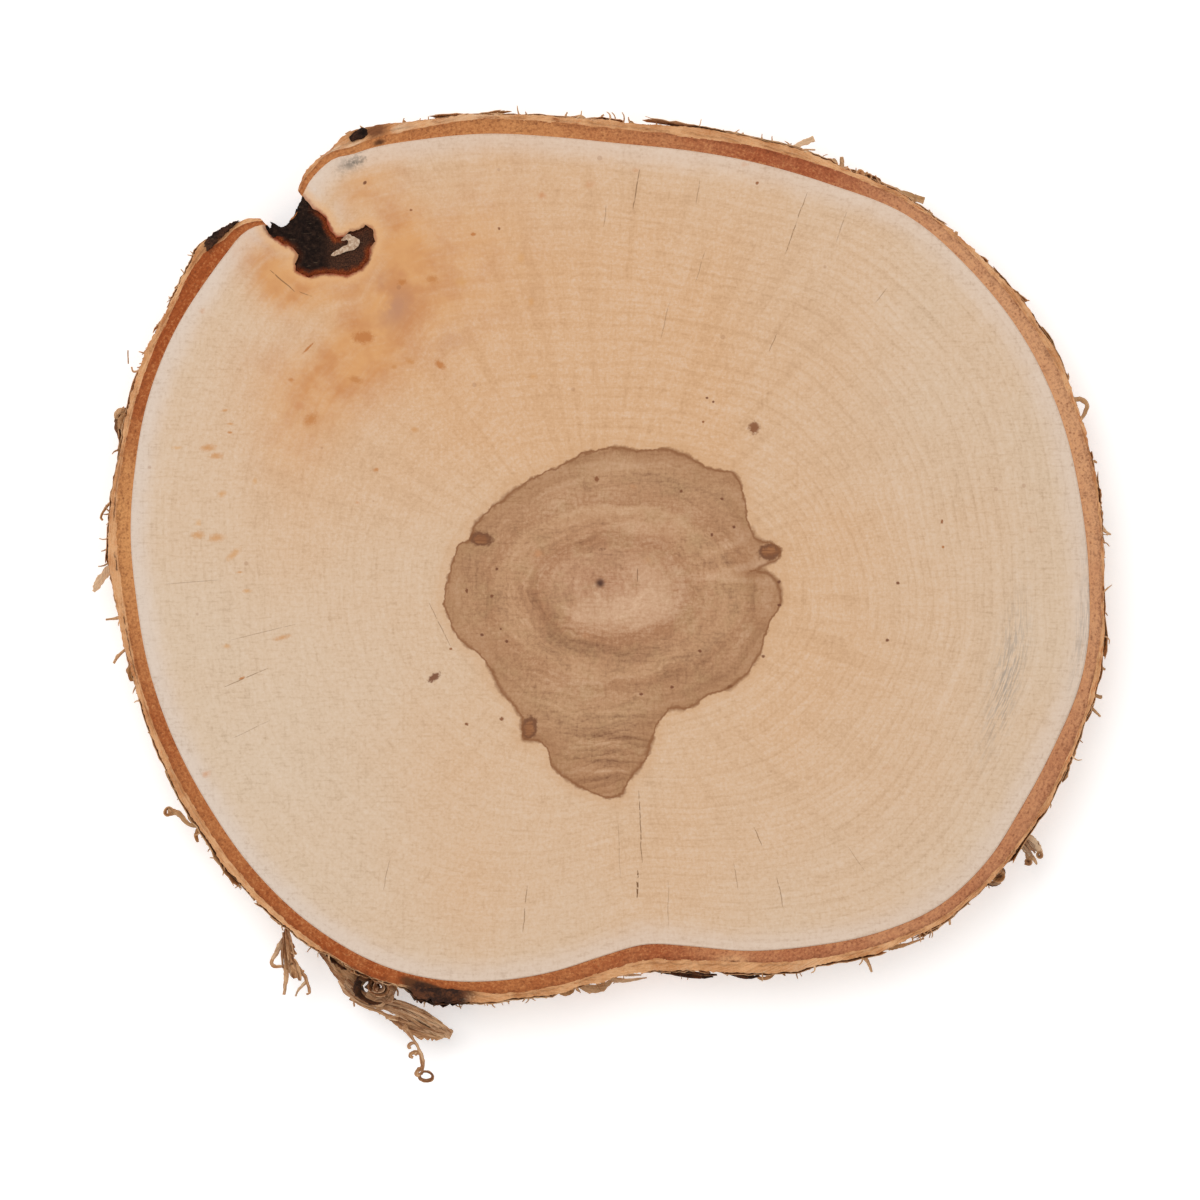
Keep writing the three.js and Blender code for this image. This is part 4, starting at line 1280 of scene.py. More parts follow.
def joined_strips(name, pieces, thick, material):
    """Several strips made one piece and given their thickness."""
    bpy.ops.object.select_all(action="DESELECT")
    for strip in pieces:
        strip.select_set(True)
    bpy.context.view_layer.objects.active = pieces[0]
    bpy.ops.object.join()
    piece = bpy.context.active_object
    piece.name = name
    wall = piece.modifiers.new("thickness", "SOLIDIFY")
    wall.thickness = thick * MM
    wall.offset = 0.0
    bpy.ops.object.modifier_apply(modifier="thickness")
    finished(piece, material, math.radians(50))
    return piece


# line of (x, y) or (x, y, z), then widths, lean, curl, dark, pale and tint
BIG_STRIPS = [
    # up the left side
    ([(-118.4, 58.4, 20), (-118.3, 55.0, 20)], (0.5, 0.4), 0, 10, 0.3, 0, 0.2),
    ([(-115.2, 53.6), (-117.4, 53.2), (-117.9, 54.4)], (0.8, 0.6, 0.4), 20, 10, 0.1, 0, 0),
    ([(-115.4, 52.2), (-117.0, 51.4), (-117.2, 50.2)], (0.8, 0.6, 0.4), 20, 10, 0.1, 0, 0),
    ([(-117.8, 43.2, 20), (-119.8, 42.6, 19), (-120.6, 40.0, 18), (-119.8, 37.0, 17), (-119.0, 35.4, 16)],
     (2, 3, 3, 2), (25, 35), 120, 0.55, 0, 0.80),
    ([(-118.4, 42.0, 22), (-119.6, 40.5, 21), (-119.0, 38.0, 21)], (2, 3, 2), (40, 60), 100, 0.38, 0, 0.55),
    ([(-119.0, 43.6, 21), (-120.8, 42.8, 21), (-121.4, 41.2, 20)], (1.4, 1.6, 0.8), (60, 70), 40, 0.1, 0.1, 0.25),
    (scroll(-120.2, 31.6, 18, 0.9, 0.5, 1.0, 0), (1.6, 1.4), 10, 10, 0, 0, 0.1),
    ([(-121.8, 20.4), (-123.4, 20.0), (-124.8, 18.2), (-125.6, 16.6), (-125.1, 15.8)], (1.0, 0.8, 0.6), 30, 20, 0, 0.1, 0.1),
    ([(-120.6, 8.6), (-122.2, 5.6), (-124.4, 2.4), (-126.4, -0.4), (-127.4, -2.2)], (0.8, 1.6, 2.2, 1.9, 0.8), (70, 84), 30, 0, 0.8, -0.45),
    ([(-119.0, -7.4), (-121.4, -8.8), (-124.4, -9.2)], (1.2, 0.9, 0.4), 40, 20, 0, 0.1, 0),
    ([(-120.6, -8.6), (-121.4, -6.6), (-121.8, -5.6)], (0.8, 0.4), 40, 20, 0, 0.1, 0),
    ([(-117.2, -14.4), (-119.4, -16.6), (-121.4, -18.6), (-122.4, -20.2)], (1.0, 0.8, 0.9, 0.4), 40, 20, 0, 0.2, 0),
    ([(-116.0, -20.0, 18), (-117.8, -22.0, 18), (-117.4, -24.6, 17)], (1.6, 2.4, 1.2), 50, 90, 0.3, 0, 0.3),
    ([(-99.2, -61.2), (-103.4, -60.8), (-106.2, -58.0), (-108.8, -57.8)], (1.2, 1.0, 1.4, 1.8), (50, 70), 50, 0.0, 0.1, 0.2),
    (scroll(-108.6, -57.6, 15, 1.2, 0.6, 1.0, 0), (1.6, 1.4), 20, 10, 0.2, 0, 0.35),
    ([(-100.8, -61.6), (-101.6, -63.4), (-101.2, -65.2)], (1.4, 1.2, 0.6), 50, 40, 0.2, 0, 0.2),
    # along the top
    ([(29.8, 112.6), (31.5, 112.2), (33.4, 112.7), (34.4, 112.3), (35.3, 111.3)], (0.6, 0.5, 0.6), 30, 10, 0, 0, 0.25),
    ([(36.2, 111.0), (36.1, 112.2), (35.9, 113.4)], (0.8, 0.5, 0.4), 30, 10, 0, 0.2, 0.1),
    ([(46.6, 108.4), (48.6, 109.5), (51.3, 110.9), (53.9, 111.9)], (0.8, 1.2, 1.5, 1.4), 70, 20, 0, 0.5, -0.4),
    ([(47.6, 108.2), (50.0, 108.8), (52.0, 109.1), (54.2, 109.0)], (0.5, 0.4, 0.3), 50, 10, 0, 0.1, 0.1),
    ([(60.9, 104.6), (60.8, 107.3)], (1.2, 0.8), 60, 10, 0, 0.3, 0),
    ([(58.2, 105.6), (58.9, 106.6), (59.6, 105.6)], (0.8, 0.5), 60, 10, 0, 0.3, 0),
    (scroll(65.2, 102.6, 20, 0.7, 0.4, 1.2, 180), (2.4, 2.2), 25, 20, 0.1, 0, 0.1),
    (scroll(67.2, 101.9, 20, 1.0, 0.5, 1.2, 90), (2.0, 2.0), 10, 10, 0.1, 0, 0.1),
    ([(66.0, 102.0), (70.0, 100.7), (75.0, 98.5), (81.6, 96.3)], (3.0, 2.4, 2.0, 1.7), (20, 70), 20, 0, 0.1, 0),
    ([(89.2, 87.0), (89.8, 88.5)], (1.4, 0.6), 50, 10, 0, 0.1, 0.1),
    ([(-26.5, 116.6), (-23, 117.1), (-20.6, 117.0), (-20.0, 118.0)], (1.4, 1.0, 0.6), 50, 20, 0.75, 0, 0),
    ([(-7.0, 116.4), (-5.2, 117.2), (-3.6, 116.2), (-2.0, 115.6)], (2.0, 2.4, 1.2), 60, 90, 0.2, 0, 0.2),
    ([(0.0, 115.6), (0.9, 116.6), (0.4, 117.4), (1.0, 117.9)], (0.5, 0.4), 30, 10, 0.2, 0, 0.3),
    ([(22.4, 113.8), (22.8, 115.4)], (0.9, 0.4), 50, 10, 0.1, 0, 0.1),
    # down the right side
    ([(117.0, 49.8), (118.9, 46.6), (121.1, 46.3), (122.6, 44.9), (122.0, 42.6), (120.7, 40.7)], (2.0, 1.6, 1.4, 1.2, 0.8), (30, 50, 40), 30, 0, 0.05, 0.15),
    ([(124.2, 30.9), (125.1, 30.3)], (0.8, 0.4), 30, 10, 0.3, 0, 0.2),
    ([(126.0, 14.6), (127.3, 12.9), (128.6, 12.2)], (1.2, 0.8, 0.4), 50, 10, 0, 0.3, 0),
    ([(124.6, -21.0), (126.0, -21.2), (127.2, -21.8)], (1.2, 0.9, 0.4), 50, 10, 0, 0.1, 0),
    ([(124.2, -28.0), (125.6, -28.6), (126.4, -28.6)], (1.2, 0.7), 50, 10, 0, 0.1, 0),
    ([(123.0, -30.8), (124.8, -32.4), (126.0, -33.6)], (1.0, 0.7, 0.4), 50, 10, 0, 0.1, 0),
    ([(106.0, -63.4, 17), (108.4, -64.8, 17), (110.0, -66.4, 16), (111.2, -68.2, 16)], (2.0, 2.8, 2.4, 0.5), 70, 60, 0, 0.95, -0.1),
    ([(105.4, -65.0, 15), (107.4, -67.0, 15), (108.0, -69.4, 15), (107.0, -70.4, 15)], (1.6, 2.0, 1.2, 0.6), 70, 60, 0.1, 0.6, 0.2),
    ([(108.0, -68.6, 15), (109.2, -69.4, 15), (110.0, -70.8, 15)], (1.2, 1.0, 0.4), 70, 40, 0.1, 0.3, 0.2),
    (scroll(100.2, -73.6, 18, 1.1, 0.5, 1.2, 100), (2.6, 2.2), 25, 30, 0.25, 0, 0.3),
    (scroll(110.6, -68.4, 16, 0.6, 0.3, 1.1, 60), (1.8, 1.5), 20, 30, 0.1, 0, 0.6),
    (scroll(107.6, -70.0, 16, 0.7, 0.3, 1.2, 200), (1.8, 1.5), 20, 30, 0.1, 0, 0.6),
    ([(88.8, -82.4), (88.0, -83.8), (88.1, -86.0)], (2.2, 1.0, 0.5), 50, 20, 0, 0.1, 0),
    ([(72.6, -91.8), (76.0, -91.2), (81.6, -89.4)], (1.4, 0.9, 0.3), 60, 10, 0, 0.2, 0),
    # along the bottom
    ([(62.6, -94.4), (65.4, -93.6), (67.2, -95.0), (68.4, -97.9)], (1.4, 1.4, 1.0, 0.4), 60, 30, 0, 0.2, 0),
    ([(38.8, -97.6), (40.4, -99.4), (42.6, -99.2), (44.0, -98.0)], (0.9, 0.9, 0.6), 50, 30, 0.1, 0.1, 0.2),
    ([(1.6, -98.6), (3.2, -99.6), (6.0, -100.0), (11.8, -99.3)], (1.2, 1.4, 1.0, 0.3), 70, 20, 0, 0.7, 0),
    ([(4.0, -97.8), (7.0, -98.5), (10.4, -98.6)], (1.2, 0.9, 0.3), 70, 20, 0, 0.7, 0),
    ([(-5.0, -100.6), (-2.4, -102.0), (0.6, -101.6), (3.0, -100.0)], (1.6, 2.2, 1.8, 0.8), 75, 30, 0, 0.35, 0),
    ([(-11.0, -101.6), (-9.0, -103.0), (-6.6, -102.6)], (1.6, 1.8, 0.8), 70, 30, 0.1, 0, 0.1),
]


# the same, for the torn spray and the long leaf at the lower left
WEATHERED_STRIPS = [
    # the spray's legs and branches
    ([(-78.8, -96.2), (-78.9, -99.0), (-79.2, -101.2), (-79.5, -103.6)], (1.6, 1.3, 0.9, 0.7), 60, 40, 0, 0, -0.15),
    ([(-77.4, -96.0), (-76.8, -97.6), (-76.4, -99.4)], (1.4, 1.7, 0.8), 65, 40, 0, 0, 0.1),
    ([(-76.6, -95.8), (-75.4, -97.6), (-74.2, -99.0), (-73.7, -100.6), (-73.2, -102.0), (-73.1, -103.1),
      (-73.9, -103.5)], (1.2, 0.9, 0.8, 0.65, 0.5), 60, 30, 0, 0, 0.1),
    ([(-73.9, -100.4), (-75.0, -101.4), (-76.0, -102.6), (-76.6, -104.0)], (0.9, 0.7, 0.4), 65, 20, 0, 0.5, -0.2),
    ([(-75.8, -97.0), (-75.0, -97.6), (-74.4, -97.6)], (1.1, 0.8, 0.3), 65, 20, 0, 0, 0.2),
    ([(-78.2, -90.2), (-77.4, -91.2), (-76.8, -91.8)], (1.2, 0.9, 0.3), 65, 20, 0.1, 0, 0.3),
    ([(-78.0, -91.8), (-77.2, -92.8), (-76.3, -93.4)], (1.5, 1.1, 0.3), 65, 20, 0.1, 0, 0.3),
    ([(-79.0, -88.8), (-80.3, -91.0), (-81.5, -93.2), (-82.6, -94.9)], (1.0, 1.5, 1.2, 0.8), 70, 20, 0, 0.45, -0.25),
    ([(-82.5, -94.5), (-82.6, -95.8), (-81.4, -96.5), (-79.4, -96.4)], (0.8, 0.9, 0.7), 60, 30, 0.1, 0, 0.2),
    # the long leaf, its lower lobe and the thin strand under it
    ([(-65.0, -99.4, 16), (-62.6, -102.4, 15.5), (-59.6, -104.6, 15), (-56.0, -105.9, 14), (-51.8, -106.8, 13),
      (-47.4, -108.6, 12.6), (-43.0, -111.0, 12.6), (-39.6, -112.8, 12.6), (-37.4, -113.9, 12.4)],
     (2.4, 3.0, 2.8, 2.2, 2.8, 3.2, 3.4, 3.0, 2.2), (70, 80), 50, 0, 0.25, -0.05),
    ([(-53.7, -109.2, 11.6), (-50.6, -110.6, 11.2), (-47.0, -111.9, 11), (-43.4, -112.6, 11),
      (-40.6, -113.1, 11), (-38.2, -113.4, 11)], (0.9, 2.4, 4.2, 5.0, 4.0, 1.8), 82, 50, 0, 0.05, 0.05),
    ([(-62.8, -104.2), (-59.6, -106.3), (-56.0, -107.6), (-53.4, -108.9), (-50.8, -109.6)],
     (1.2, 0.8, 0.7, 0.9, 1.5), 65, 30, 0, 0.1, 0.1),
    ([(-56.6, -107.3), (-55.8, -107.9), (-55.3, -108.5)], (0.5, 0.3), 50, 10, 0, 0.1, 0.1),
    ([(-61.6, -104.9), (-61.9, -105.6), (-61.8, -106.6)], (0.5, 0.3), 50, 10, 0, 0.1, 0.1),
    ([(-52.8, -108.9), (-53.6, -109.5), (-53.9, -108.9)], (0.7, 0.4), 50, 10, 0, 0.1, 0.1),
    ([(-51.0, -108.6, 14), (-48.0, -109.9, 14.2), (-45.6, -110.9, 14.2), (-42.8, -112.0, 14.2)],
     (0.3, 0.7, 0.8, 0.3), 75, 10, 1.1, 0, 0.2),
    # the twig that ends in a ring
    ([(-49.6, -111.4), (-48.3, -112.9), (-46.7, -115.3), (-45.4, -117.6), (-44.8, -119.6), (-44.6, -121.4),
      (-44.9, -122.9)], (1.8, 1.2, 0.7, 0.7, 1.1, 1.0, 0.6), (60, 70), 40, 0, 0.1, 0.05),
    (scroll(-43.75, -124.1, 14, 1.4, 1.15, 1.1, 130), (2.0, 2.4, 2.0), 14, 40, 0.05, 0, 0.25),
    ([(-46.5, -115.9), (-47.3, -115.8), (-48.0, -116.2), (-48.1, -116.9), (-47.5, -117.0)],
     (0.5, 0.9, 0.9, 0.5), 55, 50, 0.05, 0.1, 0.1),
    ([(-45.4, -118.5), (-46.4, -118.1), (-47.4, -118.4), (-47.7, -119.1), (-47.0, -119.4)],
     (0.7, 1.2, 1.1, 0.6), 55, 50, 0.05, 0, 0.2),
    ([(-45.3, -117.6), (-45.9, -118.0), (-46.5, -118.9)], (0.6, 1.0, 0.4), 65, 40, 0.2, 0, 0.2),
    ([(-44.6, -121.9), (-45.4, -122.3), (-46.1, -123.0), (-46.0, -123.8), (-45.2, -123.8)],
     (0.6, 1.2, 1.0, 0.6), 60, 50, 0.1, 0, 0.1),
    # the roll of bark and what has curled up inside it
    ([(-67.2, -93.4, 17), (-64.6, -96.4, 17), (-62.0, -99.4, 16.5), (-60.0, -101.6, 16)],
     (5, 8, 9.5, 9), 90, 320, 0.25, 0, 0.35),
    ([(-69.0, -92.0, 14), (-66.4, -94.0, 14), (-64.4, -95.6, 14), (-62.8, -96.8, 14)],
     (6, 8, 8, 5), 12, 20, 1.2, 0, 0),
    ([(-60.2, -97.4, 18), (-59.7, -99.2, 18), (-60.4, -101.2, 17), (-59.4, -103.4, 16), (-57.0, -104.7, 15),
      (-53.4, -104.9, 15)], (7, 9, 9, 7, 3), (8, 13), 20, 0.80, 0, 0.35),
    ([(-59.7, -97.9, 19), (-58.4, -98.7, 19), (-57.0, -99.3, 18), (-56.8, -100.6, 17), (-58.2, -102.2, 17)],
     (8, 8, 6), (10, 14), 20, 0.7, 0, 0.3),
    (scroll(-55.2, -101.3, 17.5, 2.1, 0.5, 1.55, 60), (8, 8, 6), 9, 20, 0.32, 0.0, 0.55),
    (scroll(-55.6, -101.2, 18.5, 1.3, 0.4, 1.2, 200), (5, 4), 8, 20, 0.05, 0.3, -0.2),
    ([(-58.4, -102.6, 16), (-56.4, -103.6, 15.6), (-54.2, -103.7, 15.6), (-52.6, -102.6, 16)],
     (4, 5, 4), 45, 40, 0.0, 0, -0.15),
    ([(-62.4, -97.0, 18), (-58.8, -98.1, 18), (-55.4, -98.8, 18), (-53.0, -99.9, 17), (-51.9, -101.7, 17),
      (-52.4, -103.8, 16)], (6, 7, 7, 6), (6, 12), 20, 0.0, 0.1, 0.05),
    ([(-54.8, -104.2, 15), (-52.9, -104.8, 15), (-51.3, -105.0, 15)], (1.8, 2.2, 0.8), 60, 30, 0.9, 0, 0.2),
    ([(-51.6, -101.4), (-50.4, -100.6), (-49.0, -100.9), (-48.0, -101.9), (-47.8, -103.0)],
     (1.3, 0.9, 0.7), 45, 20, 0, 0.1, -0.1),
    ([(-51.4, -101.9), (-50.9, -102.8), (-50.9, -103.9)], (0.7, 0.4), 30, 10, 0, 0.1, 0),
    ([(-46.9, -103.6), (-46.2, -104.6), (-46.0, -105.6)], (0.5, 0.3), 30, 10, 0, 0.1, 0),
]
# line of each frayed bundle, its strands, its spread along the line, seed, their widths, dark and pale
FRAYED = [
    ([(-79.0, -86.0), (-78.9, -88.6), (-78.6, -91.6), (-78.3, -94.8), (-77.8, -98.4)],
     13, (0.7, 1.6, 2.5, 3.1, 3.3), 21, (0.45, 1.0), 0.15, 0.1),
    ([(-77.9, -93.4), (-77.2, -96.0), (-76.5, -98.4), (-75.7, -100.6)],
     7, (1.2, 2.2, 2.6, 1.4), 27, (0.5, 1.0), 0.08, 0.05),
    ([(-71.5, -90.8, 19), (-68.6, -94.2, 17), (-66.3, -97.4, 16), (-64.2, -100.6, 15.6), (-61.4, -103.8, 15.4)],
     13, (0.8, 1.4, 1.8, 1.7, 2.2), 22, (0.5, 1.0), 0.15, 0.15),
    ([(-64.6, -99.8, 16.4), (-61.6, -103.0, 16), (-57.8, -105.2, 15), (-51.8, -106.6, 14), (-47.4, -108.5, 13.6),
      (-43.0, -111.0, 13.6), (-38.6, -113.2, 13.4)],
     17, (2.0, 2.4, 1.8, 2.2, 3.2, 3.4, 2.4), 23, (0.5, 1.1), 0.10, 0.25),
    ([(-59.0, -104.2, 16), (-53.6, -105.1, 15), (-49.6, -105.9, 15), (-45.4, -107.7, 14.6), (-41.8, -109.8, 14.4),
      (-38.9, -111.6, 14), (-37.1, -113.4, 14)],
     6, (0.6, 1.2, 1.4, 1.2, 1.0, 0.8), 24, (0.4, 0.9), 0.25, 0.0),
    ([(-52.6, -109.4, 12.4), (-48.8, -111.2, 12), (-45.0, -112.3, 12), (-41.6, -113.2, 12), (-39.4, -113.4, 12)],
     10, (0.8, 2.4, 2.8, 2.6, 1.6), 25, (0.5, 1.1), 0.08, 0.05),
    # charred flakes along the bottom
    ([(9.5, -96.6, 20), (15.0, -97.0, 19), (21.0, -98.0, 18), (26.0, -98.7, 18), (29.8, -98.5, 18)],
     11, (0.5, 1.0, 1.6, 1.3, 0.6), 31, (0.35, 0.8), 1.2, 0),
    ([(31.0, -97.4, 19), (34.5, -98.2, 18), (38.0, -98.7, 17), (41.2, -98.1, 17)],
     7, (0.5, 1.1, 1.2, 0.5), 32, (0.35, 0.7), 1.2, 0),
    # the pale torn paper and the tangle at the lower right
    ([(105.6, -63.6, 17), (107.2, -65.0, 17), (108.6, -66.6, 16.6), (109.6, -68.0, 16)],
     8, (1.6, 3.0, 3.4, 3.0), 41, (0.6, 1.2), 0.02, 1.4),
    ([(97.6, -73.4, 18), (99.4, -72.6, 18), (101.0, -72.8, 17), (101.6, -74.0, 17)],
     7, (1.2, 2.2, 2.0, 0.8), 33, (0.6, 1.3), 0.45, 0.2),
    ([(97.0, -75.0, 18), (98.8, -75.4, 18), (100.8, -75.3, 17)], 4, (0.8, 1.0, 0.4), 34, (0.5, 0.9), 0.5, 0.1),
]


def model_big_strips():
    blank = sheet_blank("strip_blank", 30, 6)
    torn, weathered = (
        [lay_strip(blank, *strip[:4], 0.35, 3.7 * k, *strip[4:]) for k, strip in enumerate(listed)]
        for listed in (BIG_STRIPS, WEATHERED_STRIPS)
    )
    throw_away(blank)
    strand = sheet_blank("strand_blank", 16, 2)
    for line, strands, spread, seed, wide, dark, pale in FRAYED:
        weathered += fray(strand, line, strands, spread, seed, wide, dark, pale)
    throw_away(strand)
    joined_strips("weathered_strips", weathered, 0.26, WEATHERED)
    return joined_strips("torn_strips", torn, 0.28, PAPER)


def model_paper_layers():
    """Thin sheets of bark that lie against the outside, each lifting at its ends and edges."""
    chance = np.random.default_rng(11)
    blank = sheet_blank("paper_blank", 26, 7)
    u, v, _ = (places(blank) + 0.5).T
    pieces = []
    for k in range(96):
        start = chance.uniform(0, 360)
        span = chance.uniform(6, 24)
        if (128 - span - 1) < start < 137:
            continue
        low, high = sorted(chance.uniform((0.9, 12), (13, TOP - 1.0)))
        lift = chance.uniform(-0.05, 0.2)
        peel = chance.uniform(0.1, 0.8) * chance.choice([1, 1, 1, 2.0])
        end = chance.integers(0, 2)
        turns = np.radians(start + span * u)
        z = low + (high - low) * v
        rag_u = np.array([noise.fractal((t * 5.0, k * 3.1, 1.0), 1.0, 2.0, 3) for t in v])
        rag_v = np.array([noise.fractal((t * 8.0, k * 2.3, 9.0), 1.0, 2.0, 3) for t in u])
        turns = turns + np.radians(rag_u * 1.6) * (2 * np.abs(u - 0.5)) ** 2
        z = z + rag_v * 1.4 * (2 * np.abs(v - 0.5)) ** 2
        toward = (u if end else 1 - u) ** 5
        out = bark_wall(turns, z) + lift + peel * toward + 0.35 * (2 * v - 1) ** 4
        z = np.clip(z, 0.7, TOP - 0.7)
        piece = copy_of(blank)
        put(piece, np.stack([out * np.cos(turns), out * np.sin(turns), z], 1))
        ones = np.ones(len(u))
        give(piece, "dark", darkness(np.degrees(turns) % 360))
        give(piece, "pale", ones * chance.uniform(0, 0.35))
        give(piece, "tint", ones * chance.uniform(-0.2, 0.3))
        give(piece, "grain", np.stack([u * span * 2, z, ones * k * 5.3], 1), "FLOAT_VECTOR")
        pieces.append(piece)
    throw_away(blank)
    return joined_strips("paper_layers", pieces, 0.16, PAPER)


def model_shreds():
    """The fine shreds and barbs all round the edge."""
    chance = np.random.default_rng(5)
    blank = sheet_blank("shred_blank", 7, 2)
    pieces = []
    while len(pieces) < 620:
        degrees = chance.uniform(0, 360)
        shaggy = 0.35 + 0.65 * (140 < degrees < 200) + 0.65 * (205 < degrees < 320) + 0.3 * (50 < degrees < 125)
        if chance.uniform() > shaggy or 126 < degrees < 136:
            continue
        turn = math.radians(degrees)
        z = chance.uniform(2, TOP - 1.2)
        root = float(bark_wall(np.array([turn]), np.array([z]))[0]) - 0.4
        hair = chance.uniform() < 0.55
        long = chance.uniform(1.2, 3.6) if hair else chance.uniform(0.6, 1.5)
        aim = turn + math.radians(chance.choice([-1, 1]) * chance.uniform(15, 80))
        turned = chance.uniform(-2.2, 2.2) if hair else chance.uniform(-0.9, 0.9)
        line = [(root * math.cos(turn), root * math.sin(turn), z)]
        for share in (0.3, 0.6, 1.0):
            x, y, _ = line[-1]
            way = aim + turned * share
            line.append((x + long / 3 * math.cos(way), y + long / 3 * math.sin(way), z + chance.uniform(-0.4, 0.4)))
        wide = (0.5, 0.4, 0.15) if hair else (chance.uniform(0.8, 2.0), chance.uniform(0.4, 0.9), 0.15)
        look = (0.25 * (chance.uniform() < 0.25), chance.uniform(0, 0.4), chance.uniform(-0.2, 0.3))
        lean = chance.uniform(10, 70)
        pieces.append(lay_strip(blank, line, wide, lean, 20, 0.3, 0.61 * len(pieces) + 50.0, *look))
    throw_away(blank)
    return joined_strips("shreds", pieces, 0.18, PAPER)


# ---------------------------------------------------------------- rotten seam
def model_rotten_bark():
    """Crumbly dark bark that fills the seam and makes the notch's floor."""
    opening = ROT_MOUTH_EDGE[:-1] + ROTTEN_SEAM[:-1]
    outline = np.array(crumbled(opening, 0.6, 0.25, 3.0))
    middle = outline.mean(0)
    outline = middle + (outline - middle) * 1.012
    piece = prism("rotten_bark", outline, 0.9, TOP - 0.7)
    only(piece)
    shape = piece.modifiers.new("crumble", "REMESH")
    shape.mode = "VOXEL"
    shape.voxel_size = 0.42 * MM
    bpy.ops.object.modifier_apply(modifier="crumble")
    points = places(piece)
    x, y, z = points.T
    inside = -signed_distance(x, y, np.array(opening))
    felt = soft_step(x, -70.0, -66.0)
    lumps = noise_over(points, 0.55, 3.0, 4)
    fine = noise_over(points, 1.6, 5.0, 3)
    facing = np.where(z > TOP - 1.2, 1, np.where(z < 1.4, -1, 0))
    sunk = facing * (lumps * (1.0 - 0.6 * felt) * 0.75 + fine * 0.22 - 0.35 - 0.25 * felt)
    cells = noise_over(points * (1, 1, 0.3), 0.9, 13.0, 4) * 0.35
    out = points[:, :2] - middle
    out = out / np.hypot(out[:, 0], out[:, 1])[:, None]
    side = (facing == 0) & (inside < 0.8)
    points[:, 0] += out[:, 0] * cells * side
    points[:, 1] += out[:, 1] * cells * side
    points[:, 2] = np.clip(z + sunk, 0.3, TOP - 0.15)
    put(piece, points)
    wood_side = signed_distance(x, y, seam_outline)
    mouth = np.min([np.hypot(x - mx, y - my) for mx, my in ROT_MOUTH_EDGE], 0)
    give(piece, "edge", np.where(mouth < 2.2, 3.0, np.maximum(-wood_side, 0)))
    give(piece, "felt", felt)
    give(piece, "rusty", ovals(x, y, RUSTY))
    finished(piece, ROTTEN, math.radians(60))
    return piece


FRAGMENT_OUTLINE = [
    (-67.2, 81.8), (-65.4, 82.0), (-63.7, 82.8), (-62.1, 83.3), (-60.8, 83.8), (-60.1, 84.8),
    (-60.3, 85.9), (-61.3, 86.6), (-62.1, 86.9), (-62.7, 87.2), (-63.7, 86.9), (-64.6, 86.2),
    (-64.9, 85.7), (-64.1, 85.4), (-63.4, 85.8), (-62.9, 85.3), (-63.4, 84.6), (-64.6, 83.9),
    (-65.9, 83.2), (-66.8, 82.5),
]
# lumps of charred bark on the outside
CRUSTS = [
    [(-62.9, 111.2), (-61.4, 112.9), (-59.8, 113.7), (-58.3, 113.4), (-58.0, 112.4), (-58.9, 111.5),
     (-60.5, 110.8), (-62.2, 110.5)],
    [(-99.2, 83.5), (-98.5, 86.0), (-96.1, 87.9), (-93.4, 89.3), (-90.6, 90.8), (-91.2, 89.5),
     (-93.8, 87.3), (-95.9, 85.4), (-97.3, 83.4), (-98.7, 82.6)],
]


def model_crusts():
    for number, outline in enumerate(CRUSTS, 1):
        piece = prism(f"charred_lump_{number}", outline, 13.0, TOP - 0.2)
        only(piece)
        shape = piece.modifiers.new("crumble", "REMESH")
        shape.mode = "VOXEL"
        shape.voxel_size = 0.4 * MM
        bpy.ops.object.modifier_apply(modifier="crumble")
        points = places(piece)
        middle = np.array(outline).mean(0)
        x, y, z = points.T
        waist = soft_step(z, 13.0, 20.0) * 0.75 + 0.25 + 0.25 * noise_over(points, 0.5, 21.0)
        points[:, :2] = middle + (points[:, :2] - middle) * np.clip(waist, 0.1, 1.1)[:, None]
        points += np.stack([noise_over(points, 0.9, s, 4) for s in (1.0, 7.0, 13.0)], 1) * 0.42
        points[:, 2] = np.minimum(points[:, 2], TOP - 0.15)
        put(piece, points)
        give(piece, "edge", np.full(len(points), 5.0))
        brown = 0.75 * (number - 1)
        give(piece, "felt", np.clip(brown + noise_over(points, 0.4, 31.0) * 1.2, 0, 1))
        finished(piece, ROTTEN, math.radians(60))


def model_fragment():
    """A pale comma of sound wood left lying in the rot."""
    outline = crumbled(rounded_outline(FRAGMENT_OUTLINE, 3), 0.4, 0.3, 5.0)
    piece = prism("pale_fragment", outline, TOP - 1.3, TOP - 0.35)
    only(piece)
    soften = piece.modifiers.new("soften", "BEVEL")
    soften.width = 0.18 * MM
    soften.segments = 2
    bpy.ops.object.modifier_apply(modifier="soften")
    finished(piece, FRAGMENT)
    return piece


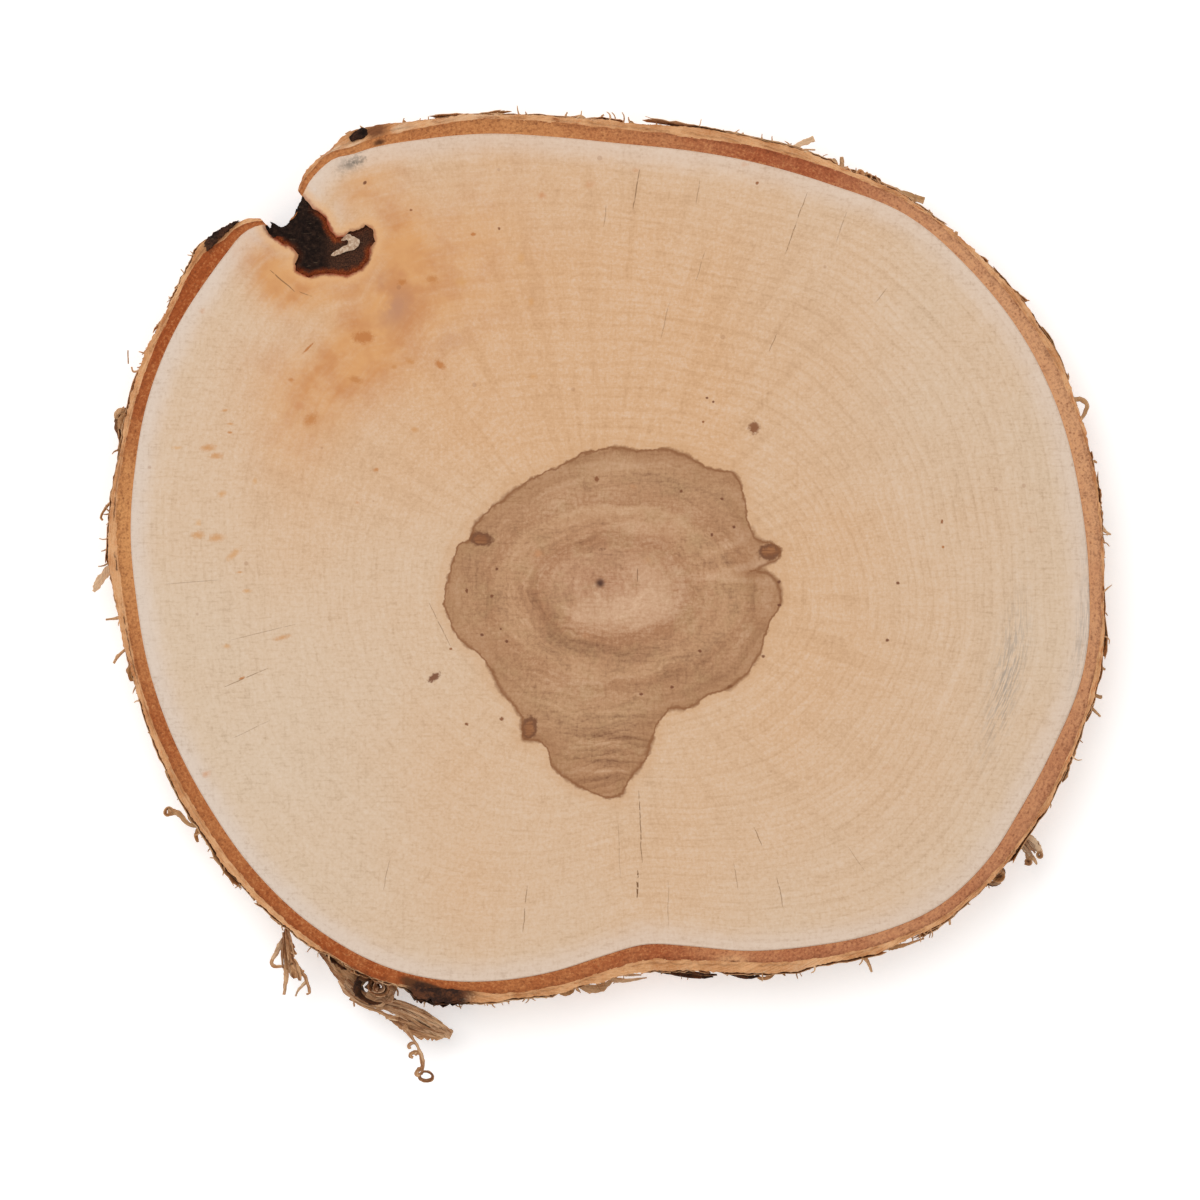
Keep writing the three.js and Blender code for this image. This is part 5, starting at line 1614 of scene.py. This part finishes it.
wood = model_wood()
inner_bark = model_inner_bark()
outer_bark = model_outer_bark()
rotten_bark = model_rotten_bark()
pale_fragment = model_fragment()
model_crusts()
torn_strips = model_big_strips()
paper_layers = model_paper_layers()
shreds = model_shreds()

# ---------------------------------------------------------------- table, light and camera
bpy.ops.object.select_all(action="DESELECT")
bpy.ops.mesh.primitive_plane_add(size=6.0, location=(0, 0, -0.0002))
table = bpy.context.active_object
table.name = "table"
table_material, table_wires, table_shader = new_material("white table")
table_shader.inputs["Base Color"].default_value = (0.97, 0.97, 0.97, 1)
table_shader.inputs["Roughness"].default_value = 0.9
table_shader.inputs["Specular IOR Level"].default_value = 0.1
table_shader.inputs["Emission Color"].default_value = (1, 1, 1, 1)
table_shader.inputs["Emission Strength"].default_value = 0.28
table.data.materials.append(table_material)

world = bpy.data.worlds.new("room")
bpy.context.scene.world = world
world.use_nodes = True
world.node_tree.nodes["Background"].inputs["Color"].default_value = (1, 1, 1, 1)
world.node_tree.nodes["Background"].inputs["Strength"].default_value = 0.56


def soft_light(name, place, size, power):
    data = bpy.data.lights.new(name, "AREA")
    data.shape = "DISK"
    data.size = size
    data.energy = power
    lamp = bpy.data.objects.new(name, data)
    bpy.context.scene.collection.objects.link(lamp)
    lamp.location = place
    lamp.rotation_euler = (-Vector(place)).to_track_quat("-Z", "Y").to_euler()
    return lamp


soft_light("window", (-0.42, 0.55, 1.7), 1.2, 12.5)
soft_light("fill", (0.5, -0.4, 1.9), 1.4, 4.5)

camera_data = bpy.data.cameras.new("camera")
camera = bpy.data.objects.new("camera", camera_data)
bpy.context.scene.collection.objects.link(camera)
CAMERA_HEIGHT = 1.5
VIEW_WIDTH = 0.300
camera_data.sensor_width = 36
camera_data.lens = 36 * CAMERA_HEIGHT / VIEW_WIDTH
camera_data.clip_start = 0.01
camera_data.clip_end = 20
camera.location = (0, -4.25 * MM, TOP * MM + CAMERA_HEIGHT)
camera.rotation_euler = (0, 0, 0)
bpy.context.scene.camera = camera
bpy.context.scene.view_settings.view_transform = "Standard"
bpy.context.scene.view_settings.look = "None"
